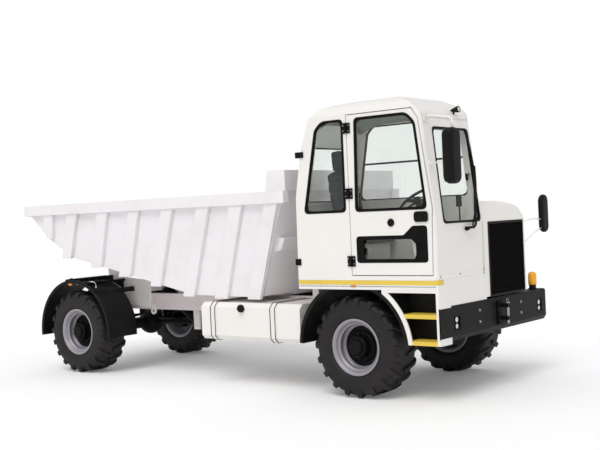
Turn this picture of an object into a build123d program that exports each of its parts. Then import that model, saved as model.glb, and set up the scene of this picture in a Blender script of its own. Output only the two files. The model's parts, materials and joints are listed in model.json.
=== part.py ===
from build123d import *
import math
import os

# A compact four-wheel-drive dump truck for mines and tunnels: a one-person cab at
# the right front, the engine under a hood beside it, and a ribbed tipping bed.
# +X is the truck's front, +Y its left, +Z up; millimetres; the ground is z = 0.
# Every x below is measured from the front axle, and the finished pieces are moved
# by the same amount at the end, so that the origin is the middle of the footprint.

# Driving dimensions of the whole truck
wheelbase = 4304
half_width = 1133            # bumper, cab side and fenders
bumper_front_x = 1030
bumper_low_z, bumper_high_z = 599, 936
tail_x = -5222               # rear tip of the bed
mirror_front_x = 1290        # front of the right mirror
mirror_reach_y = 1236        # outer edge of both mirrors

# Tyres, rims and hubs
tyre_r, tyre_width = 515, 404
tyre_mid_y = 895
lug_count, lug_depth = 12, 24
lug_width, lug_length, lug_slant = 44, 200, 36
wheel_z = tyre_r
bead_r = 256
rim_flange_r, rim_wall = 289, 10
rim_half_width = 185
disc_offset, disc_thick = 35, 16
hub_r, hub_out = 112, 130
spindle_r, spindle_gap = 60, 0.3

# Axles, knuckles and springs
kingpin_y, kingpin_r = 700, 30
fender_in, fender_skin, fender_inner_y = 628, 14, 600
axle_tube_r = 75
diff_r, diff_y = 165, 190
fork_half_height, fork_plate = 150, 34
spring_y, spring_width, spring_half_length = 405, 64, 520

# Chassis
rail_outer_y, rail_thick = 440, 70
rail_low_z, rail_high_z = 755, 955
rail_rear_x, rail_front_x = -4560, 880
cross_x = (760, -950, -1640, -3000, -4150)
cross_depth, cross_low_z, cross_high_z = 90, 790, 930

# Bed hinge and hoist
hinge_x, hinge_z = -4360, 1085
hinge_pin_r, hinge_fit = 30, 0.05
hoist_y = -150
hoist_base = (-3000, 540)
hoist_eye = (-3700, 1050)
hoist_pin_r = 25
barrel_r, rod_r = 70, 42

# Cab shell
cab_right_y, cab_left_y = -1133, -195
cab_wall = 45
floor_z, sill_z = 1195, 1246
cab_front_x, cab_rear_x = 1015, -645
window_low_z, window_high_z = 1884, 2790
roof_top_z = 3000
pillar_r, window_r, low_window_r = 45, 42, 24
door_rear_x = 45
door_gap = 8
panel_gap = 0.3

# Hood
hood_right_y, hood_left_y = -185, 720
hood_low_z, hood_split_z, hood_high_z = 940, 1715, 1930
hood_rear_x, hood_front_x = -600, 1010
hood_skin = 30

# Bed
bed_low_z, bed_rail_low_z, bed_rail_high_z = 985, 2003, 2130
headboard_z = 2350
bed_top_half_y, bed_plate = 1055, 30
bed_lean = 5.5               # inward lean of the sides, degrees
rib_depth = 45
rail_depth = 62

parts = {}


def block(x, y, z):
    """A box between the low and high of each pair."""
    size = (x[1] - x[0], y[1] - y[0], z[1] - z[0])
    return Pos(sum(x) / 2, sum(y) / 2, sum(z) / 2) * Box(*size)


def slab_y(points, y):
    """An outline in X and Z, run from y[0] to y[1]."""
    face = make_face(Polyline(*[(px, y[0], pz) for px, pz in points], close=True))
    return extrude(face, amount=y[1] - y[0], dir=(0, 1, 0))


def slab_x(points, x):
    """An outline in Y and Z, run from x[0] to x[1]."""
    face = make_face(Polyline(*[(x[0], py, pz) for py, pz in points], close=True))
    return extrude(face, amount=x[1] - x[0], dir=(1, 0, 0))


def rod_y(x, z, r, y):
    """A round bar along Y."""
    return Pos(x, sum(y) / 2, z) * Rot(90, 0, 0) * Cylinder(r, abs(y[1] - y[0]))


def rod_z(x, y, r, z):
    """A round bar along Z."""
    return Pos(x, y, sum(z) / 2) * Cylinder(r, abs(z[1] - z[0]))


def rounded_y(points, y, radius):
    """An outline in X and Z with rounded corners, run from y[0] to y[1]."""
    piece = slab_y(points, y)
    return fillet(piece.edges().filter_by(Axis.Y), radius)


def bar(a, b, r):
    """A round bar between two points."""
    start, end = Vector(*a), Vector(*b)
    way = end - start
    plane = Plane(origin=start, z_dir=way)
    return extrude(plane * Circle(r), amount=way.length)


def mirrored(piece):
    """The same piece on the other side of the truck."""
    return mirror(piece, about=Plane.XZ)


def sides(piece):
    """A piece and its mirror image, as one."""
    return piece + mirrored(piece)


# Wheels: a tyre and a dished rim, turned about Y at the origin, outer face at -Y
def facets(sections):
    """A body of flat facets, two for each lug, through rings of (y, corner radius)."""
    angles = [math.pi * k / lug_count for k in range(2 * lug_count)]
    rings = [[Vector(r * math.cos(a), y, r * math.sin(a)) for a in angles] for y, r in sections]
    faces = [Face(Wire.make_polygon(ring, close=True)) for ring in (rings[0], rings[-1])]
    for low, high in zip(rings, rings[1:]):
        for k in range(len(angles)):
            n = (k + 1) % len(angles)
            faces.append(Face(Wire.make_polygon([low[k], low[n], high[n], high[k]], close=True)))
    return Solid(Shell(faces))


def make_tyre():
    half, crown_r, bead_y = tyre_width / 2, tyre_r - lug_depth, tyre_width / 2 - 44
    shoulder_r, side_r, lip_r = crown_r - 22, 400, 395
    carcass = facets([(-half, side_r), (18 - half, shoulder_r), (44 - half, crown_r), (half - 44, crown_r),
                      (half - 18, shoulder_r), (half, side_r)])
    corner = bead_r / math.cos(math.pi / (2 * lug_count))
    spread = (lip_r - corner) / 10
    recess = facets([(-half - 4.4, lip_r + spread), (-bead_y, corner), (bead_y, corner), (half + 4.4, lip_r + spread)])
    slant = math.radians(lug_slant)
    reach = (lug_length * math.sin(slant) + lug_width * math.cos(slant)) / 2
    top, root = math.sqrt(tyre_r ** 2 - reach ** 2), side_r + 30
    lug = Pos(0, -half / 2, (top + root) / 2) * Rot(0, 0, lug_slant) * Box(lug_width, lug_length, top - root)
    first, pitch = 180 + math.degrees(math.asin(reach / tyre_r)), 360 / lug_count
    bars = [Rot(0, first + pitch * i, 0) * lug for i in range(lug_count)]
    bars += [Rot(0, first + pitch * (i + 0.5), 0) * mirrored(lug) for i in range(lug_count)]
    knee_r = (tyre_r + 1) / math.cos(math.pi / (2 * lug_count))
    envelope = facets([(-half, side_r + 65), (42 - half, knee_r), (half - 42, knee_r), (half, side_r + 65)])
    return (Part() + carcass + ((Part() + bars) & envelope)) - recess


def make_rim():
    edge, well = rim_half_width, bead_r - panel_gap
    outline = [
        # y, radius, from the outer flange over the bead seats to the inner flange and back
        (-edge, rim_flange_r), (-edge + rim_wall, rim_flange_r), (-edge + 15, well + 3), (-edge + 26, well),
        (edge - 26, well), (edge - 15, well + 3), (edge - rim_wall, rim_flange_r), (edge, rim_flange_r),
        (edge, rim_flange_r - rim_wall), (edge - 10, well - 2), (edge - 30, well - rim_wall),
        (-edge + 68, well - rim_wall), (-edge + 64, well - 22), (-edge + 50, well - 22),
        (-edge + 46, well - rim_wall), (-edge + 30, well - rim_wall), (-edge + 10, well - 2),
        (-edge, rim_flange_r - rim_wall),
    ]
    barrel = revolve(make_face(Polyline(*[(0, y, r) for y, r in outline], close=True)), axis=Axis.Y)
    disc = rod_y(0, 0, well - 5, (-disc_offset - disc_thick, -disc_offset))
    ring = rod_y(0, 0, hub_r + 34, (-disc_offset - disc_thick - 18, -disc_offset))
    hub = rod_y(0, 0, hub_r, (-disc_offset - hub_out, -disc_offset + 40))
    cap = rod_y(0, 0, hub_r - 38, (-disc_offset - hub_out - 24, -disc_offset - hub_out))
    rim = barrel + disc + ring + hub + cap
    return rim - rod_y(0, 0, spindle_r + spindle_gap, (-disc_offset - hub_out + 60, 300))


tyre, rim = make_tyre(), make_rim()
wheel_places = [
    # name, x, side (-1 is the right)
    ("front_right", 0, -1),
    ("front_left", 0, 1),
    ("rear_right", -wheelbase, -1),
    ("rear_left", -wheelbase, 1),
]
for name, x, side in wheel_places:
    place = Pos(x, side * tyre_mid_y, wheel_z)
    turn = Rot(0, 0, 0) if side < 0 else Rot(0, 0, 180)
    parts["tyre_" + name] = place * turn * tyre
    parts["rim_" + name] = place * turn * rim

# Spindles end inside the hubs' bores
spindle_end_y = tyre_mid_y + disc_offset + hub_out - 65

# Front axle with kingpins at its ends, and the two steering knuckles
front_axle = rod_y(0, wheel_z, axle_tube_r, (-kingpin_y, kingpin_y))
front_axle += Pos(0, diff_y, wheel_z) * Sphere(diff_r)
pin_z = (wheel_z - fork_half_height, wheel_z + fork_half_height)
boss_half = fork_half_height - fork_plate - 1
for side in (-1, 1):
    front_axle += rod_z(0, side * kingpin_y, 52, (wheel_z - boss_half, wheel_z + boss_half))
    front_axle += rod_z(0, side * kingpin_y, kingpin_r, pin_z)
    front_axle += block((-60, 60), (side * spring_y - 40, side * spring_y + 40),
                        (wheel_z + axle_tube_r - 10, wheel_z + axle_tube_r + 22))


def make_knuckle():
    """The right steering knuckle: a fork about the kingpin, and the spindle."""
    back_y = (-kingpin_y - 125, -kingpin_y - 80)
    fork = block((-62, 62), back_y, pin_z)
    for low in (pin_z[0], pin_z[1] - fork_plate):
        arm = block((-62, 62), (back_y[1], -kingpin_y), (low, low + fork_plate))
        arm += rod_z(0, -kingpin_y, 62, (low, low + fork_plate))
        fork += arm
    fork += rod_y(0, wheel_z, spindle_r, (-spindle_end_y, back_y[0]))
    return fork - rod_z(0, -kingpin_y, kingpin_r + 0.3, (pin_z[0] - 5, pin_z[1] + 5))


parts["front_axle"] = front_axle
parts["knuckle_right"] = make_knuckle()
parts["knuckle_left"] = mirrored(make_knuckle())

rear_axle = rod_y(-wheelbase, wheel_z, axle_tube_r, (-kingpin_y, kingpin_y))
rear_axle += Pos(-wheelbase, diff_y, wheel_z) * Sphere(diff_r)
for side in (-1, 1):
    ends = sorted((side * (kingpin_y - 10), side * spindle_end_y))
    rear_axle += rod_y(-wheelbase, wheel_z, spindle_r, ends)
    drum = sorted((side * 700, side * (tyre_mid_y - disc_offset - 60)))
    rear_axle += rod_y(-wheelbase, wheel_z, 150, drum)
    rear_axle += block((-wheelbase - 60, -wheelbase + 60), (side * spring_y - 40, side * spring_y + 40),
                       (wheel_z + axle_tube_r - 10, wheel_z + axle_tube_r + 22))
parts["rear_axle"] = rear_axle

# Leaf springs: a bowed pack on each axle seat, hung from the rails at both ends
seat_top = wheel_z + axle_tube_r + 22
for name, x in (("front", 0), ("rear", -wheelbase)):
    bow = ThreePointArc((x - spring_half_length, 0, seat_top + 78), (x, 0, seat_top),
                        (x + spring_half_length, 0, seat_top + 78))
    top = ThreePointArc((x + spring_half_length, 0, seat_top + 92), (x, 0, seat_top + 58),
                        (x - spring_half_length, 0, seat_top + 92))
    ends = [Line(bow @ 1, top @ 0), Line(top @ 1, bow @ 0)]
    pack = extrude(make_face([bow, ends[0], top, ends[1]]), amount=spring_width, dir=(0, 1, 0))
    pack = Pos(0, -spring_y - spring_width / 2, 0) * pack
    for end in (-1, 1):
        hanger_x = x + end * (spring_half_length - 30)
        pack += block((hanger_x - 25, hanger_x + 25), (-spring_y - 32, -spring_y + 32), (seat_top + 84, rail_low_z))
    parts["springs_" + name] = sides(pack)

# Chassis: two rails joined by cross members, hinge brackets, tie-down eyes and cab mounts
rail = block((rail_rear_x, rail_front_x), (-rail_outer_y, -rail_outer_y + rail_thick), (rail_low_z, rail_high_z))
parts["chassis_rails"] = sides(rail)
rail_inner_y = rail_outer_y - rail_thick
crossings = Part()
for x in cross_x:
    crossings += block((x - cross_depth / 2, x + cross_depth / 2), (-rail_inner_y, rail_inner_y),
                       (cross_low_z, cross_high_z))
parts["cross_members"] = crossings
bracket_thick = 26
bracket_y = (-rail_outer_y - bracket_thick, -rail_outer_y)
bracket = slab_y([(-3600, 775), (-4440, 860), (-4450, 1085), (-4400, 1150), (-4200, 1175), (-3600, 1120)], bracket_y)
bracket += rod_y(hinge_x, hinge_z, hinge_pin_r, (-rail_outer_y - bracket_thick - 14, -rail_outer_y + 110))
eye_x, eye_z, eye_r, eye_bore = -3560, 735, 42, 22
eye_y = (-rail_outer_y - 20, -rail_outer_y)
eye = rod_y(eye_x, eye_z, eye_r, eye_y) + block((eye_x - 25, eye_x + 25), eye_y, (eye_z, eye_z + 90))
eye -= rod_y(eye_x, eye_z, eye_bore, (eye_y[0] - 10, eye_y[1] + 10))
parts["hinge_brackets"] = sides(bracket + eye)
ear_thick, ear_gap = 30, 80
ears = slab_y([(hoist_base[0] + 52, cross_low_z), (hoist_base[0] - 52, cross_low_z),
               (hoist_base[0] - 46, hoist_base[1] - 42), (hoist_base[0] + 46, hoist_base[1] - 42)],
              (hoist_y - ear_gap - ear_thick, hoist_y - ear_gap))
ears += Pos(0, 2 * ear_gap + ear_thick, 0) * ears
pin_half = ear_gap + ear_thick + 5
parts["hoist_mount"] = ears + rod_y(*hoist_base, hoist_pin_r, (hoist_y - pin_half, hoist_y + pin_half))
mount_wide = 80
mounts = Part()
for x in (-650, 785):
    mounts += block((x, x + mount_wide), (-900, -rail_outer_y), (rail_high_z - 120, rail_high_z - 40))
    for y in (-900, -rail_outer_y - 100):
        mounts += block((x, x + mount_wide), (y, y + 90), (rail_high_z - 60, floor_z))
parts["cab_mounts"] = mounts

# Bumper with recessed lamp pockets, and the tow hitch
bumper_back_x = rail_front_x
bumper_outline = [(bumper_back_x, bumper_low_z), (bumper_front_x - 28, bumper_low_z), (bumper_front_x, bumper_low_z + 45),
                  (bumper_front_x, bumper_high_z - 16), (bumper_front_x - 16, bumper_high_z), (bumper_back_x, bumper_high_z)]
bumper = slab_y(bumper_outline, (-half_width, half_width))
bumper_skin, bumper_box_y, step_depth = 14, -920, 210
bumper -= block((bumper_back_x + bumper_skin, bumper_front_x - 30), (bumper_box_y + bumper_skin, half_width - bumper_skin),
                (bumper_low_z - 5, bumper_high_z - bumper_skin))
bumper -= block((bumper_back_x - 1, bumper_front_x - bumper_skin), (-half_width - 1, bumper_box_y),
                (bumper_low_z - 5, bumper_high_z + 5))
pattern_y = 75
for side in (-1, 1):
    lamp_y = pattern_y + side * 895
    bumper -= block((bumper_front_x - 20, bumper_front_x + 5), (lamp_y - 70, lamp_y + 70), (690, 842))
parts["front_bumper"] = bumper
hitch_y = 110
hitch = block((bumper_front_x, bumper_front_x + 16), (hitch_y - 120, hitch_y + 120), (660, 900))
for z in (700, 830):
    hitch += block((bumper_front_x + 16, bumper_front_x + 95), (hitch_y - 55, hitch_y + 55), (z, z + 30))
hitch -= rod_z(bumper_front_x + 60, hitch_y, 18, (650, 900))
parts["tow_hitch"] = hitch

# Engine and driveline, closed in under the hood and between the rails
parts["engine_block"] = block((-420, 700), (-20, 540), (rail_high_z, 1560))
drive = block((-880, -480), (40, 330), (500, 940))
drive += bar((-880, diff_y, 600), (-wheelbase + diff_r - 10, diff_y, wheel_z + 10), 42)
drive += bar((-480, diff_y, 600), (diff_r * -1 + 10, diff_y, wheel_z + 10), 38)
parts["driveline"] = drive - Pos(0, diff_y, wheel_z) * Sphere(diff_r) - Pos(-wheelbase, diff_y, wheel_z) * Sphere(diff_r)

# Hood: a standing box with the mesh grille in front, and a lid hinged at its rear edge
shell = block((hood_rear_x, hood_front_x), (hood_right_y, hood_left_y), (hood_low_z + 15, hood_split_z))
shell -= block((hood_rear_x + hood_skin, hood_front_x - hood_skin), (hood_right_y + hood_skin, hood_left_y - hood_skin),
               (hood_low_z, hood_split_z + 5))
grille_y = (hood_right_y + 100, hood_left_y - 45)
grille_z = (hood_low_z + 20, hood_split_z - 12)
shell -= block((hood_front_x - hood_skin - 5, hood_front_x + 5), grille_y, grille_z)
shell -= rod_y(0, wheel_z, fender_in + fender_skin + panel_gap, (580, 800))
parts["hood_box"] = shell
parts["grille"] = block((hood_front_x - hood_skin, hood_front_x - 6), grille_y, grille_z)
lid_points = [(hood_rear_x, hood_split_z + panel_gap), (hood_front_x, hood_split_z + panel_gap), (hood_front_x - 30, hood_high_z - 60),
              (hood_front_x - 110, hood_high_z), (hood_rear_x, hood_high_z)]
lid_front = [(hood_right_y, hood_split_z), (hood_right_y, hood_high_z - 12), (hood_right_y + 25, hood_high_z),
             (300, hood_high_z - 8), (520, hood_high_z - 36), (650, hood_high_z - 90), (hood_left_y, hood_high_z - 175),
             (hood_left_y, hood_split_z)]
lid = slab_y(lid_points, (hood_right_y, hood_left_y)) & slab_x(lid_front, (hood_rear_x, hood_front_x))
lid -= block((hood_rear_x + hood_skin, hood_front_x - hood_skin - 80), (hood_right_y + hood_skin, hood_left_y - hood_skin),
             (hood_split_z - 5, hood_high_z - 2 * hood_skin - 120))
lid -= block((hood_rear_x + hood_skin, hood_front_x - hood_skin - 110), (hood_right_y + hood_skin, 480),
             (hood_split_z - 5, hood_high_z - 36 - hood_skin))
parts["hood_lid"] = lid

# Cab: a hollow shell, cut into the panels that the real one is welded from
cab_side = [(cab_rear_x, floor_z), (cab_rear_x + 10, 2040), (-557, 2484), (-430, 2840), (-290, 2925), (-30, 2980),
            (250, roof_top_z), (480, roof_top_z - 5), (640, 2965), (770, 2905), (870, 2835), (900, 2790), (cab_front_x, 1760),
            (cab_front_x, floor_z)]
inner_side = [(cab_rear_x + cab_wall, floor_z + cab_wall), (cab_rear_x + 10 + cab_wall, 2040), (-510, 2480), (-395, 2792),
              (-272, 2878), (-22, 2934), (250, roof_top_z - cab_wall - 2), (478, roof_top_z - cab_wall - 7), (622, 2920),
              (742, 2865), (838, 2795), (858, 2765), (cab_front_x - cab_wall, 1755),
              (cab_front_x - cab_wall, floor_z + cab_wall)]
cab_mid_y = (cab_right_y + cab_left_y) / 2
cab_half = (cab_left_y - cab_right_y) / 2


def crown(half, low_z, top_z):
    """The cab's outline from the front: upright sides and a crowned roof, run along its whole length."""
    roof = [(half, top_z - 150), (half - 22, top_z - 85), (half - 70, top_z - 45), (half - 230, top_z - 15), (0, top_z)]
    outline = [(half, low_z)] + roof + [(-y, z) for y, z in reversed(roof[:-1])] + [(-half, low_z)]
    return slab_x([(cab_mid_y + y, z) for y, z in outline], (cab_rear_x - 5, cab_front_x + 5))


outer = slab_y(cab_side, (cab_right_y, cab_left_y))
front_edges = outer.edges().filter_by(lambda e: e.center().X > 950 and abs((e @ 0).Y - (e @ 1).Y) < 1)
front_edges = front_edges.filter_by(lambda e: abs((e @ 0).Z - (e @ 1).Z) > 400)
outer = fillet(front_edges, pillar_r) & crown(cab_half, floor_z, roof_top_z)
inner_y = (cab_right_y + cab_wall, cab_left_y - cab_wall)
cab = outer - (slab_y(inner_side, inner_y) & crown(cab_half - cab_wall, floor_z, roof_top_z - cab_wall - 2))


def door_outline(grow):
    """The door's outline, grown outward by a gap."""
    return [(door_rear_x - grow, sill_z - grow), (1000 - 30 + grow, sill_z - grow), (985 + grow, 1870),
            (868 + grow, 2740), (800 + grow, 2835 + grow), (door_rear_x - grow, 2835 + grow)]


rear_window = [(-520, window_low_z), (-12, window_low_z), (-12, window_high_z), (-268, window_high_z), (-350, 2710)]
door_window = [(124, window_low_z), (925, window_low_z), (830, 2700), (740, window_high_z), (149, window_high_z)]
low_window = [(120, 1376), (920, 1376), (920, 1708), (772, 1708), (666, 1620), (120, 1620)]
through_right = (cab_right_y - 5, cab_right_y + cab_wall + 5)
through_left = (cab_left_y - cab_wall - 5, cab_left_y + 5)
cab -= slab_y(door_outline(door_gap), through_right)
cab -= rounded_y(rear_window, through_right, window_r)
left_window = [(-480, 1990), (880, 1990), (800, 2700), (740, window_high_z), (-268, window_high_z), (-350, 2710)]
cab -= rounded_y(left_window, through_left, window_r)
screen = [(cab_right_y + 165, 1735), (cab_left_y - 62, 1735), (cab_left_y - 75, 2650), (cab_right_y + 190, 2650)]
cab -= slab_x(screen, (820, cab_front_x + 20))
rear_light = [(cab_right_y + 150, 1990), (cab_left_y - 130, 1990), (cab_left_y - 150, 2560), (cab_right_y + 170, 2560)]
cab -= slab_x(rear_light, (cab_rear_x - 20, -460))

mid = (cab_right_y + cab_wall, cab_left_y - cab_wall)
far = 9000
parts["cab_right_side"] = cab & block((-far, far), (cab_right_y - 5, mid[0]), (0, far))
parts["cab_left_side"] = cab & block((-far, far), (mid[1], cab_left_y + 5), (0, far))
parts["cab_floor"] = cab & block((-far, far), mid, (0, floor_z + cab_wall))
front_cut, rear_cut, roof_z = 600, -300, 2740
parts["cab_front"] = cab & block((front_cut, far), mid, (floor_z + cab_wall, roof_z))
parts["cab_rear"] = cab & block((-far, rear_cut), mid, (floor_z + cab_wall, roof_z))
parts["cab_roof"] = cab & block((-far, far), mid, (roof_z, far))

glass_thick = 6
glass = rounded_y(rear_window, (cab_right_y + 18, cab_right_y + 18 + glass_thick), window_r)
glass += rounded_y(left_window, (cab_left_y - 24, cab_left_y - 18), window_r)
screen_points = [(cab_front_x - 24, 1735), (cab_front_x - 18, 1735), (916 - 18, 2650), (916 - 24, 2650)]
glass += slab_y(screen_points, (cab_right_y + 165, cab_left_y - 62)) & slab_x(screen, (0, far))
light_points = [(cab_rear_x + 28, 1990), (cab_rear_x + 34, 1990), (-620, 2040), (-513, 2560), (-519, 2560), (-626, 2040)]
glass += slab_y(light_points, (cab_right_y + 150, cab_left_y - 130)) & slab_x(rear_light, (-far, 0))
parts["cab_glass"] = glass

# Door, hinged at its rear edge
door = slab_y(door_outline(0), (cab_right_y, cab_right_y + cab_wall))
door -= rounded_y(door_window, through_right, window_r)
door -= rounded_y(low_window, through_right, low_window_r)
parts["door_panel"] = door
pane_y = (cab_right_y + 18, cab_right_y + 18 + glass_thick)
parts["door_glass"] = rounded_y(door_window, pane_y, window_r) + rounded_y(low_window, pane_y, low_window_r)
door_hinge_y = cab_right_y - 16
hardware = block((794, 950), (cab_right_y - 10, cab_right_y), (1755, 1850))
hardware += rod_y(527, 1755, 22, (cab_right_y - 8, cab_right_y))
hinge_rod_r = 6
leaves = Part()
for z in (1332, 2004, 2655):
    hardware += block((door_rear_x + 4, door_rear_x + 90), (cab_right_y - 12, cab_right_y), (z, z + 105))
    hardware += rod_z(door_rear_x, door_hinge_y, 12, (z, z + 105))
    hardware -= rod_z(door_rear_x, door_hinge_y, hinge_rod_r + 0.3, (z - 5, z + 110))
    leaf = block((door_rear_x - 80, door_rear_x - 14), (cab_right_y - 12, cab_right_y), (z - 30, z + 135))
    for low, high in ((z - 30, z - panel_gap), (z + 105 + panel_gap, z + 135)):
        leaf += rod_z(door_rear_x, door_hinge_y, 12, (low, high))
        leaf += block((door_rear_x - 20, door_rear_x), (cab_right_y - 14, cab_right_y - 4), (low, high))
    leaves += leaf + rod_z(door_rear_x, door_hinge_y, hinge_rod_r, (z - 10, z + 115))
parts["door_hardware"] = hardware
parts["door_hinge_leaves"] = leaves

# Inside the cab: seat, dashboard and steering wheel
seat_y, seat_x = -640, -130
seat = block((seat_x - 230, seat_x + 250), (seat_y - 240, seat_y + 240), (floor_z + cab_wall + 330, floor_z + cab_wall + 460))
seat += slab_y([(seat_x - 230, 1690), (seat_x - 110, 1690), (seat_x - 210, 2310), (seat_x - 320, 2310)], (seat_y - 230, seat_y + 230))
seat += slab_y([(seat_x - 300, 2300), (seat_x - 215, 2300), (seat_x - 235, 2520), (seat_x - 320, 2520)], (seat_y - 130, seat_y + 130))
parts["seat"] = seat
parts["seat_base"] = block((seat_x - 180, seat_x + 200), (seat_y - 200, seat_y + 200), (floor_z + cab_wall, floor_z + cab_wall + 330))
dash = slab_y([(770, floor_z + cab_wall), (960, floor_z + cab_wall), (960, 1690), (800, 1690), (700, 1600)], (mid[0] + 8, mid[1] - 1))
parts["dashboard"] = dash
wheel_at, wheel_tilt = (520, seat_y, 1960), 35
steer = Pos(*wheel_at) * Rot(0, -wheel_tilt, 0) * (Torus(190, 15) + Cylinder(40, 30) + Box(370, 26, 14) + Box(26, 370, 14))
steer += bar(wheel_at, (wheel_at[0] + 230, seat_y, wheel_at[2] - 330), 32)
parts["steering_wheel"] = steer - dash

# Sill strip, steps and fenders
parts["sill_strip"] = block((cab_rear_x, bumper_front_x - 5), (cab_right_y, cab_right_y + 100), (1150, floor_z - panel_gap))
step_y = (cab_right_y, cab_right_y + step_depth)
skirt_thick = 14
skirt_y = (cab_right_y, cab_right_y + skirt_thick)
skirt_top, skirt_low, skirt_front = 1150 - panel_gap, 574, bumper_front_x - 2
post_x, opening_top = 990, 1074
fender_lip, arch_band = 40, 46
skirt = block((380, skirt_front), skirt_y, (skirt_low, skirt_top))
skirt -= rod_y(0, wheel_z, fender_in + fender_lip + panel_gap, (-half_width - 5, -half_width + 30))
gap_in_skirt = block((0, post_x), (-half_width - 5, -half_width + 30), (skirt_low - 5, opening_top))
skirt -= gap_in_skirt - rod_y(0, wheel_z, fender_in + fender_lip + arch_band, (-half_width - 9, -half_width + 40))
skirt += block((post_x, skirt_front), (skirt_y[1], step_y[1]), (skirt_low, skirt_top))
skirt += block((680, post_x), (step_y[1] - 6, step_y[1]), (skirt_low, skirt_top))
apron_y = (cab_right_y, hood_right_y - panel_gap)
skirt += block((cab_front_x - skirt_thick, cab_front_x), apron_y, (bumper_high_z, floor_z - panel_gap))
parts["step_skirt"] = skirt - bumper - parts["sill_strip"]
steps = block((612, skirt_front), step_y, (830, 868)) + block((648, skirt_front), step_y, (574, 612))
steps = steps - skirt - bumper - rod_y(0, wheel_z, fender_in + fender_lip + panel_gap, (-half_width - 5, -700))
parts["entry_steps"] = steps


def arch(x, inner, outer, y, start, end):
    """A round fender over a wheel, between two angles from the front, in degrees."""
    ring = rod_y(x, wheel_z, outer, y) - rod_y(x, wheel_z, inner, (y[0] - 5, y[1] + 5))
    reach = 2 * outer
    points = [(x, wheel_z)]
    for step in range(5):
        angle = math.radians(start + (end - start) * step / 4)
        points.append((x + reach * math.cos(angle), wheel_z + reach * math.sin(angle)))
    return ring & slab_y(points, y)


fender_right = arch(0, fender_in, fender_in + fender_skin, (-half_width + 3, -fender_inner_y), 8, 178)
fender_right += arch(0, fender_in, fender_in + fender_lip, (-half_width, -half_width + 14), 8, 178)
parts["fender_front_right"] = fender_right - steps - skirt - parts["sill_strip"]
parts["fender_front_left"] = mirrored(arch(0, fender_in, fender_in + fender_skin, (-half_width, -fender_inner_y), 20, 178))
rear_fender = arch(-wheelbase, fender_in - 8, fender_in + 6, (-half_width + 10, -650), -5, 185)
rear_fender += arch(-wheelbase, fender_in - 8, fender_in + 30, (-half_width + 10, -half_width + 24), -5, 185)
for x, top in ((-wheelbase, 1190), (-wheelbase + 400, 1045)):
    arm = block((x - 22, x + 22), (-half_width + 40, -rail_outer_y - 26), (top - 60, top))
    rear_fender += arm - rod_y(-wheelbase, wheel_z, fender_in + 2, (-half_width, -650))
parts["fender_rear_right"] = rear_fender
parts["fender_rear_left"] = mirrored(rear_fender)

# Tanks outside the rails
tank_y = (-1085, -rail_outer_y - 12)
tank_x = (-2110, -690)
tank_outline = [(tank_y[0], 565), (tank_y[0] + 40, 520), (tank_y[1], 520), (tank_y[1], 930), (tank_y[0] + 50, 930), (tank_y[0], 880)]
tank = slab_x(tank_outline, tank_x)
for x in (-1060, -1930):
    tank += slab_x([(tank_y[0] - 5, 563), (tank_y[0] + 38, 515), (tank_y[1], 515), (tank_y[1], 935),
                    (tank_y[0] + 48, 935), (tank_y[0] - 5, 882)], (x - 32, x + 32))
    tank += block((x - 32, x + 32), (tank_y[1], -rail_outer_y), (775, 935))
tank += rod_y(-1500, 875, 38, (tank_y[0] - 22, tank_y[0] + 30))
parts["fuel_tank"] = tank
parts["hydraulic_tank"] = mirrored(block((-1750, -900), (-1050, -rail_outer_y), (540, 930)))

# Mirrors, lamps and wiper
mirror_case = Pos(mirror_front_x - 40, 95 - mirror_reach_y, 2354) * Box(80, 190, 520)
right_mirror = fillet(mirror_case.edges(), 32)
right_mirror += bar((905, -1060, 2740), (1240, -1120, 2700), 14) + bar((1240, -1120, 2700), (1240, -1120, 2600), 14)
parts["mirror_right"] = right_mirror - parts["cab_front"] - parts["cab_right_side"] - parts["cab_roof"]
left_case = Pos(1045, mirror_reach_y - 90, 1765) * Box(70, 180, 430)
left_mirror = fillet(left_case.edges(), 28)
left_mirror += bar((990, hood_left_y - 5, 1680), (1045, 1120, 1700), 9) + bar((990, hood_left_y - 5, 1470), (1045, 1120, 1640), 9)
parts["mirror_left"] = left_mirror - shell
amber = rod_z(950, 990, 45, (bumper_high_z, bumper_high_z + 170))
lamps = amber
for side in (-1, 1):
    lamp_y = pattern_y + side * 895
    lamps += block((bumper_front_x - 20, bumper_front_x - 6), (lamp_y - 68, lamp_y + 68), (692, 840))
parts["lamps"] = lamps

# Bed: leaning sides with pressed ribs, floor rising to the tail, front wall and headboard
bed_bottom = [
    # x, z of the side's lower edge, from the front to the tail
    (-1340, bed_low_z),
    (-2350, bed_low_z + 15),
    (-4420, 1455),
    (-4840, 1700),
    (tail_x + 20, bed_rail_low_z + 40),
]
front_top_x = -850
front_low_x = bed_bottom[0][0]
pivot_z = bed_rail_low_z
stretch = 1 / math.cos(math.radians(bed_lean))


def leaned(piece):
    """A bed side, drawn upright, leaned inward about the rail's lower edge."""
    return Pos(0, -bed_top_half_y, pivot_z) * Rot(bed_lean, 0, 0) * Pos(0, bed_top_half_y, -pivot_z) * piece


def drop(z):
    """The upright height that comes to z once leaned."""
    return pivot_z - (pivot_z - z) * stretch


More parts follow.
